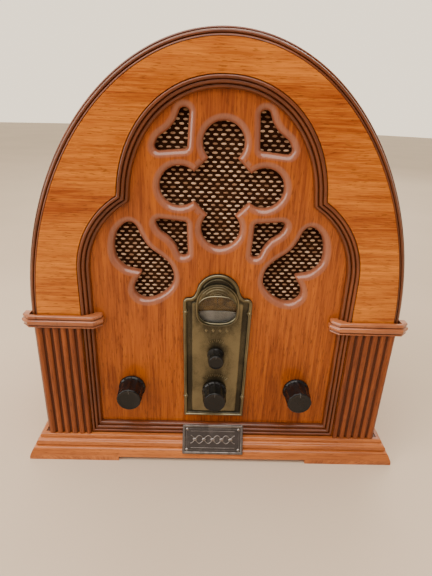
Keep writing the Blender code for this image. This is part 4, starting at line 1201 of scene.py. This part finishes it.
# ---- back ------------------------------------------------------------------------------
def make_back():
    """Pressed-fibre back with its vents, four slotted screws and the mains inlet."""
    back = BACK_PANEL_OUT - BACK_PANEL_THICK
    edge = offset(arch(), EDGE_WIDTH + 0.6, closed=False)
    slots = [rounded(rectangle(x - 2.0, z - 17.0, x + 2.0, z + 17.0), [1.95] * 4, 5)
             for z in (110.0, 250.0) for x in (-60.0, -36.0, -12.0, 12.0, 36.0, 60.0)]
    lead = rectangle(INLET_X - 11.4, INLET_Z - 8.4, INLET_X + 11.4, INLET_Z + 8.4)
    screws = {"low_left": (-138.0, 45.0), "low_right": (138.0, 45.0),
              "high_left": (-88.0, 305.0), "high_right": (88.0, 305.0)}
    holes = slots + [lead] + [circle(x, z, 2.0, 16) for x, z in screws.values()]
    # Drawn face up and turned over, so that the rounded edges face the back
    turned = Matrix(((1, 0, 0, 0), (0, 0, 1, FACE_Y), (0, 1, 0, 0), (0, 0, 0, 1)))
    bm = new_mesh()
    lip, clean = 0.45, [0.0] * 5
    soft = [(outline, lip, lip, clean) for outline in holes]
    board(bm, -BACK_PANEL_OUT, -back, [(edge, -lip, lip, clean)] + soft)
    piece("fibre_back_panel", bm, HARDBOARD, "back_panel", slot="hardboard", drawn=turned)

    for spot, (x, z) in screws.items():
        bm = new_mesh()
        face = -back + GAP
        head = runs([(0.0, -BACK_PANEL_OUT + 0.4), (1.5, -BACK_PANEL_OUT + 0.4), (1.5, face)],
                    [(1.5, face), (3.6, face)],
                    [(3.6, face), (3.45, face + 0.7), (2.9, face + 1.4), (1.8, face + 1.85),
                     (0.0, face + 2.0)], steps=4)
        lathe(bm, head, 32, (x, z))
        item = piece(f"{spot}_round_head_screw", bm, BLACK_STEEL, f"{spot}_back_screw",
                     slot="black_steel", drawn=turned)
        y = FACE_Y - back + GAP
        carved(item, ((x - 4.0, y + 1.0, z - 0.4), (x + 4.0, y + 4.0, z + 0.4)))

    low, high = (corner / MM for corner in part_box("mains_inlet"))
    out_low, out_high = high.y - FACE_Y, low.y - FACE_Y
    mouth_floor = out_low - 11.9
    outer = rounded(rectangle(low.x, low.z, high.x, high.z), [1.2] * 4, 4)
    recess = rounded(rectangle(INLET_X - 8.4, INLET_Z - 4.4, INLET_X + 8.4, INLET_Z + 4.4),
                     [4.35] * 4, 8)
    bm = new_mesh()
    rows = [flat(bm, outer, out_high),
            flat(bm, outer, out_low - 0.5),
            flat(bm, offset(outer, 0.5), out_low)]
    skin(bm, rows)
    bm.faces.new(rows[0])
    mouth = [flat(bm, spread(recess, 0.3), out_low),
             flat(bm, recess, out_low - 0.3),
             flat(bm, recess, mouth_floor)]
    skin(bm, mouth)
    bm.faces.new(mouth[-1])
    fill(bm, rows[-1], mouth[0])
    piece("mains_inlet_body", bm, BLACK, "mains_inlet", slot="black_plastic", drawn=turned)
    bm = new_mesh()
    for side in (-1, 1):
        pin = [(0.0, mouth_floor), (1.2, mouth_floor), (1.2, out_low - 2.2),
               (0.9, out_low - 1.6), (0.4, out_low - 1.35), (0.0, out_low - 1.3)]
        lathe(bm, pin, 20, (INLET_X + side * 4.3, INLET_Z))
    piece("mains_inlet_pins", bm, STEEL, slot="steel", drawn=turned)


# ---- CAD nodes that stay, with their materials -----------------------------------------
def dress_cad_nodes():
    finishes = {
        PINE: ["back_cleat"],
        PLINTH_WOOD: ["base_board"],
        HARDBOARD: ["baffle_board", "band_switch"],
        STEEL: ["control_bracket", "volume_shaft", "band_shaft", "tone_shaft", "tuning_shaft",
                "volume_control", "tone_control", "tuning_bearing", "capacitor_frame",
                "lamp_holder", "board_tray"],
        ALUMINIUM: ["dial_drum", "capacitor_rotor", "capacitor_stator", "heat_sink",
                    "left_smoothing_capacitor", "right_smoothing_capacitor"],
        BLACK_STEEL: ["speaker_basket", "transformer_core"],
        FELT: ["speaker_surround", "dial_cord"],
        PAPER: ["speaker_cone"],
        FERRITE: ["speaker_magnet"],
        GREEN_BOARD: ["circuit_board"],
        COPPER: ["transformer_coil"],
        LENS: ["dial_lamp"],
    }
    for mat, names in finishes.items():
        for name in names:
            for material_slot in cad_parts[name].material_slots:
                material_slot.material = mat


# ---- stage -----------------------------------------------------------------------------
def make_stage():
    """Plain pale floor and soft studio light."""
    bm = bmesh.new()
    bmesh.ops.create_circle(bm, cap_ends=True, radius=6.0, segments=96)
    mesh = bpy.data.meshes.new("floor")
    bm.to_mesh(mesh)
    bm.free()
    floor = placed("floor", mesh)
    ground = Shader("pale_floor", Roughness=0.55)
    cloud = ground.noise(ground.places(3.0), 3.0, 0.5)
    ground.to("Base Color", ground.mix(ground.span(cloud, 0.3, 0.7), (0.56, 0.44, 0.32),
                                       (0.60, 0.475, 0.35)))
    mesh.materials.append(ground.mat)

    # A bright wall and ceiling behind the radio and a dimmer room in front of it
    world = bpy.data.worlds.new("studio")
    bpy.context.scene.world = world
    world.use_nodes = True
    nodes, links = world.node_tree.nodes, world.node_tree.links
    towards = nodes.new("ShaderNodeSeparateXYZ")
    links.new(nodes.new("ShaderNodeTexCoord").outputs["Generated"], towards.inputs["Vector"])
    share = nodes.new("ShaderNodeMapRange")
    share.interpolation_type = "SMOOTHSTEP"
    links.new(towards.outputs["Y"], share.inputs["Value"])
    share.inputs["From Min"].default_value = -0.5
    share.inputs["From Max"].default_value = 0.7
    room = nodes.new("ShaderNodeMix")
    room.data_type = "RGBA"
    links.new(share.outputs["Result"], room.inputs["Factor"])
    room.inputs[6].default_value = (0.15, 0.13, 0.11, 1.0)
    room.inputs[7].default_value = (0.98, 0.84, 0.64, 1.0)
    background = nodes["Background"]
    links.new(room.outputs[2], background.inputs["Color"])
    background.inputs["Strength"].default_value = 1.95

    aim = Vector((0.0, 0.0, 0.16))
    for name, at, size, power, colour in (
            ("overhead", (-0.22, -0.42, 1.02), (1.5, 0.9), 19.0, (1.0, 0.95, 0.90)),
            ("left_window", (-1.6, -1.0, 0.7), (0.9, 1.2), 19.0, (1.0, 0.96, 0.91)),
            ("right_fill", (1.7, -0.7, 0.8), (0.9, 1.1), 2.0, (1.0, 0.93, 0.85)),
            ("back_fill", (0.4, 1.7, 1.2), (1.2, 1.0), 16.0, (1.0, 0.97, 0.94))):
        light = bpy.data.lights.new(name, "AREA")
        light.shape = "RECTANGLE"
        light.size, light.size_y = size
        light.energy, light.color = power, colour
        item = placed(name, light)
        item.location = at
        item.rotation_euler = (aim - Vector(at)).to_track_quat("-Z", "Y").to_euler()


def make_camera():
    yaw, pitch, roll = (math.radians(a) for a in (1.52, 23.12, 2.17))
    ahead = Vector((math.sin(yaw) * math.cos(pitch), math.cos(yaw) * math.cos(pitch),
                    -math.sin(pitch)))
    right = Vector((math.cos(yaw), -math.sin(yaw), 0.0))
    up = right.cross(ahead)
    side = right * math.cos(roll) + up * math.sin(roll)
    top = up * math.cos(roll) - right * math.sin(roll)
    data = bpy.data.cameras.new("camera")
    data.sensor_width, data.lens = 36.0, 27.06
    data.clip_start, data.clip_end = 0.02, 30.0
    camera = placed("camera", data)
    turn = Matrix((side, top, -ahead)).transposed().to_4x4()
    camera.matrix_world = Matrix.Translation((-0.0108, -0.4197, 0.3133)) @ turn
    bpy.context.scene.camera = camera


make_cabinet()
make_front_panel()
make_grille()
make_pilasters()
make_capitals()
make_base()
make_escutcheon()
make_dial()
make_nameplate()
make_knobs()
make_back()
dress_cad_nodes()
make_stage()
make_camera()
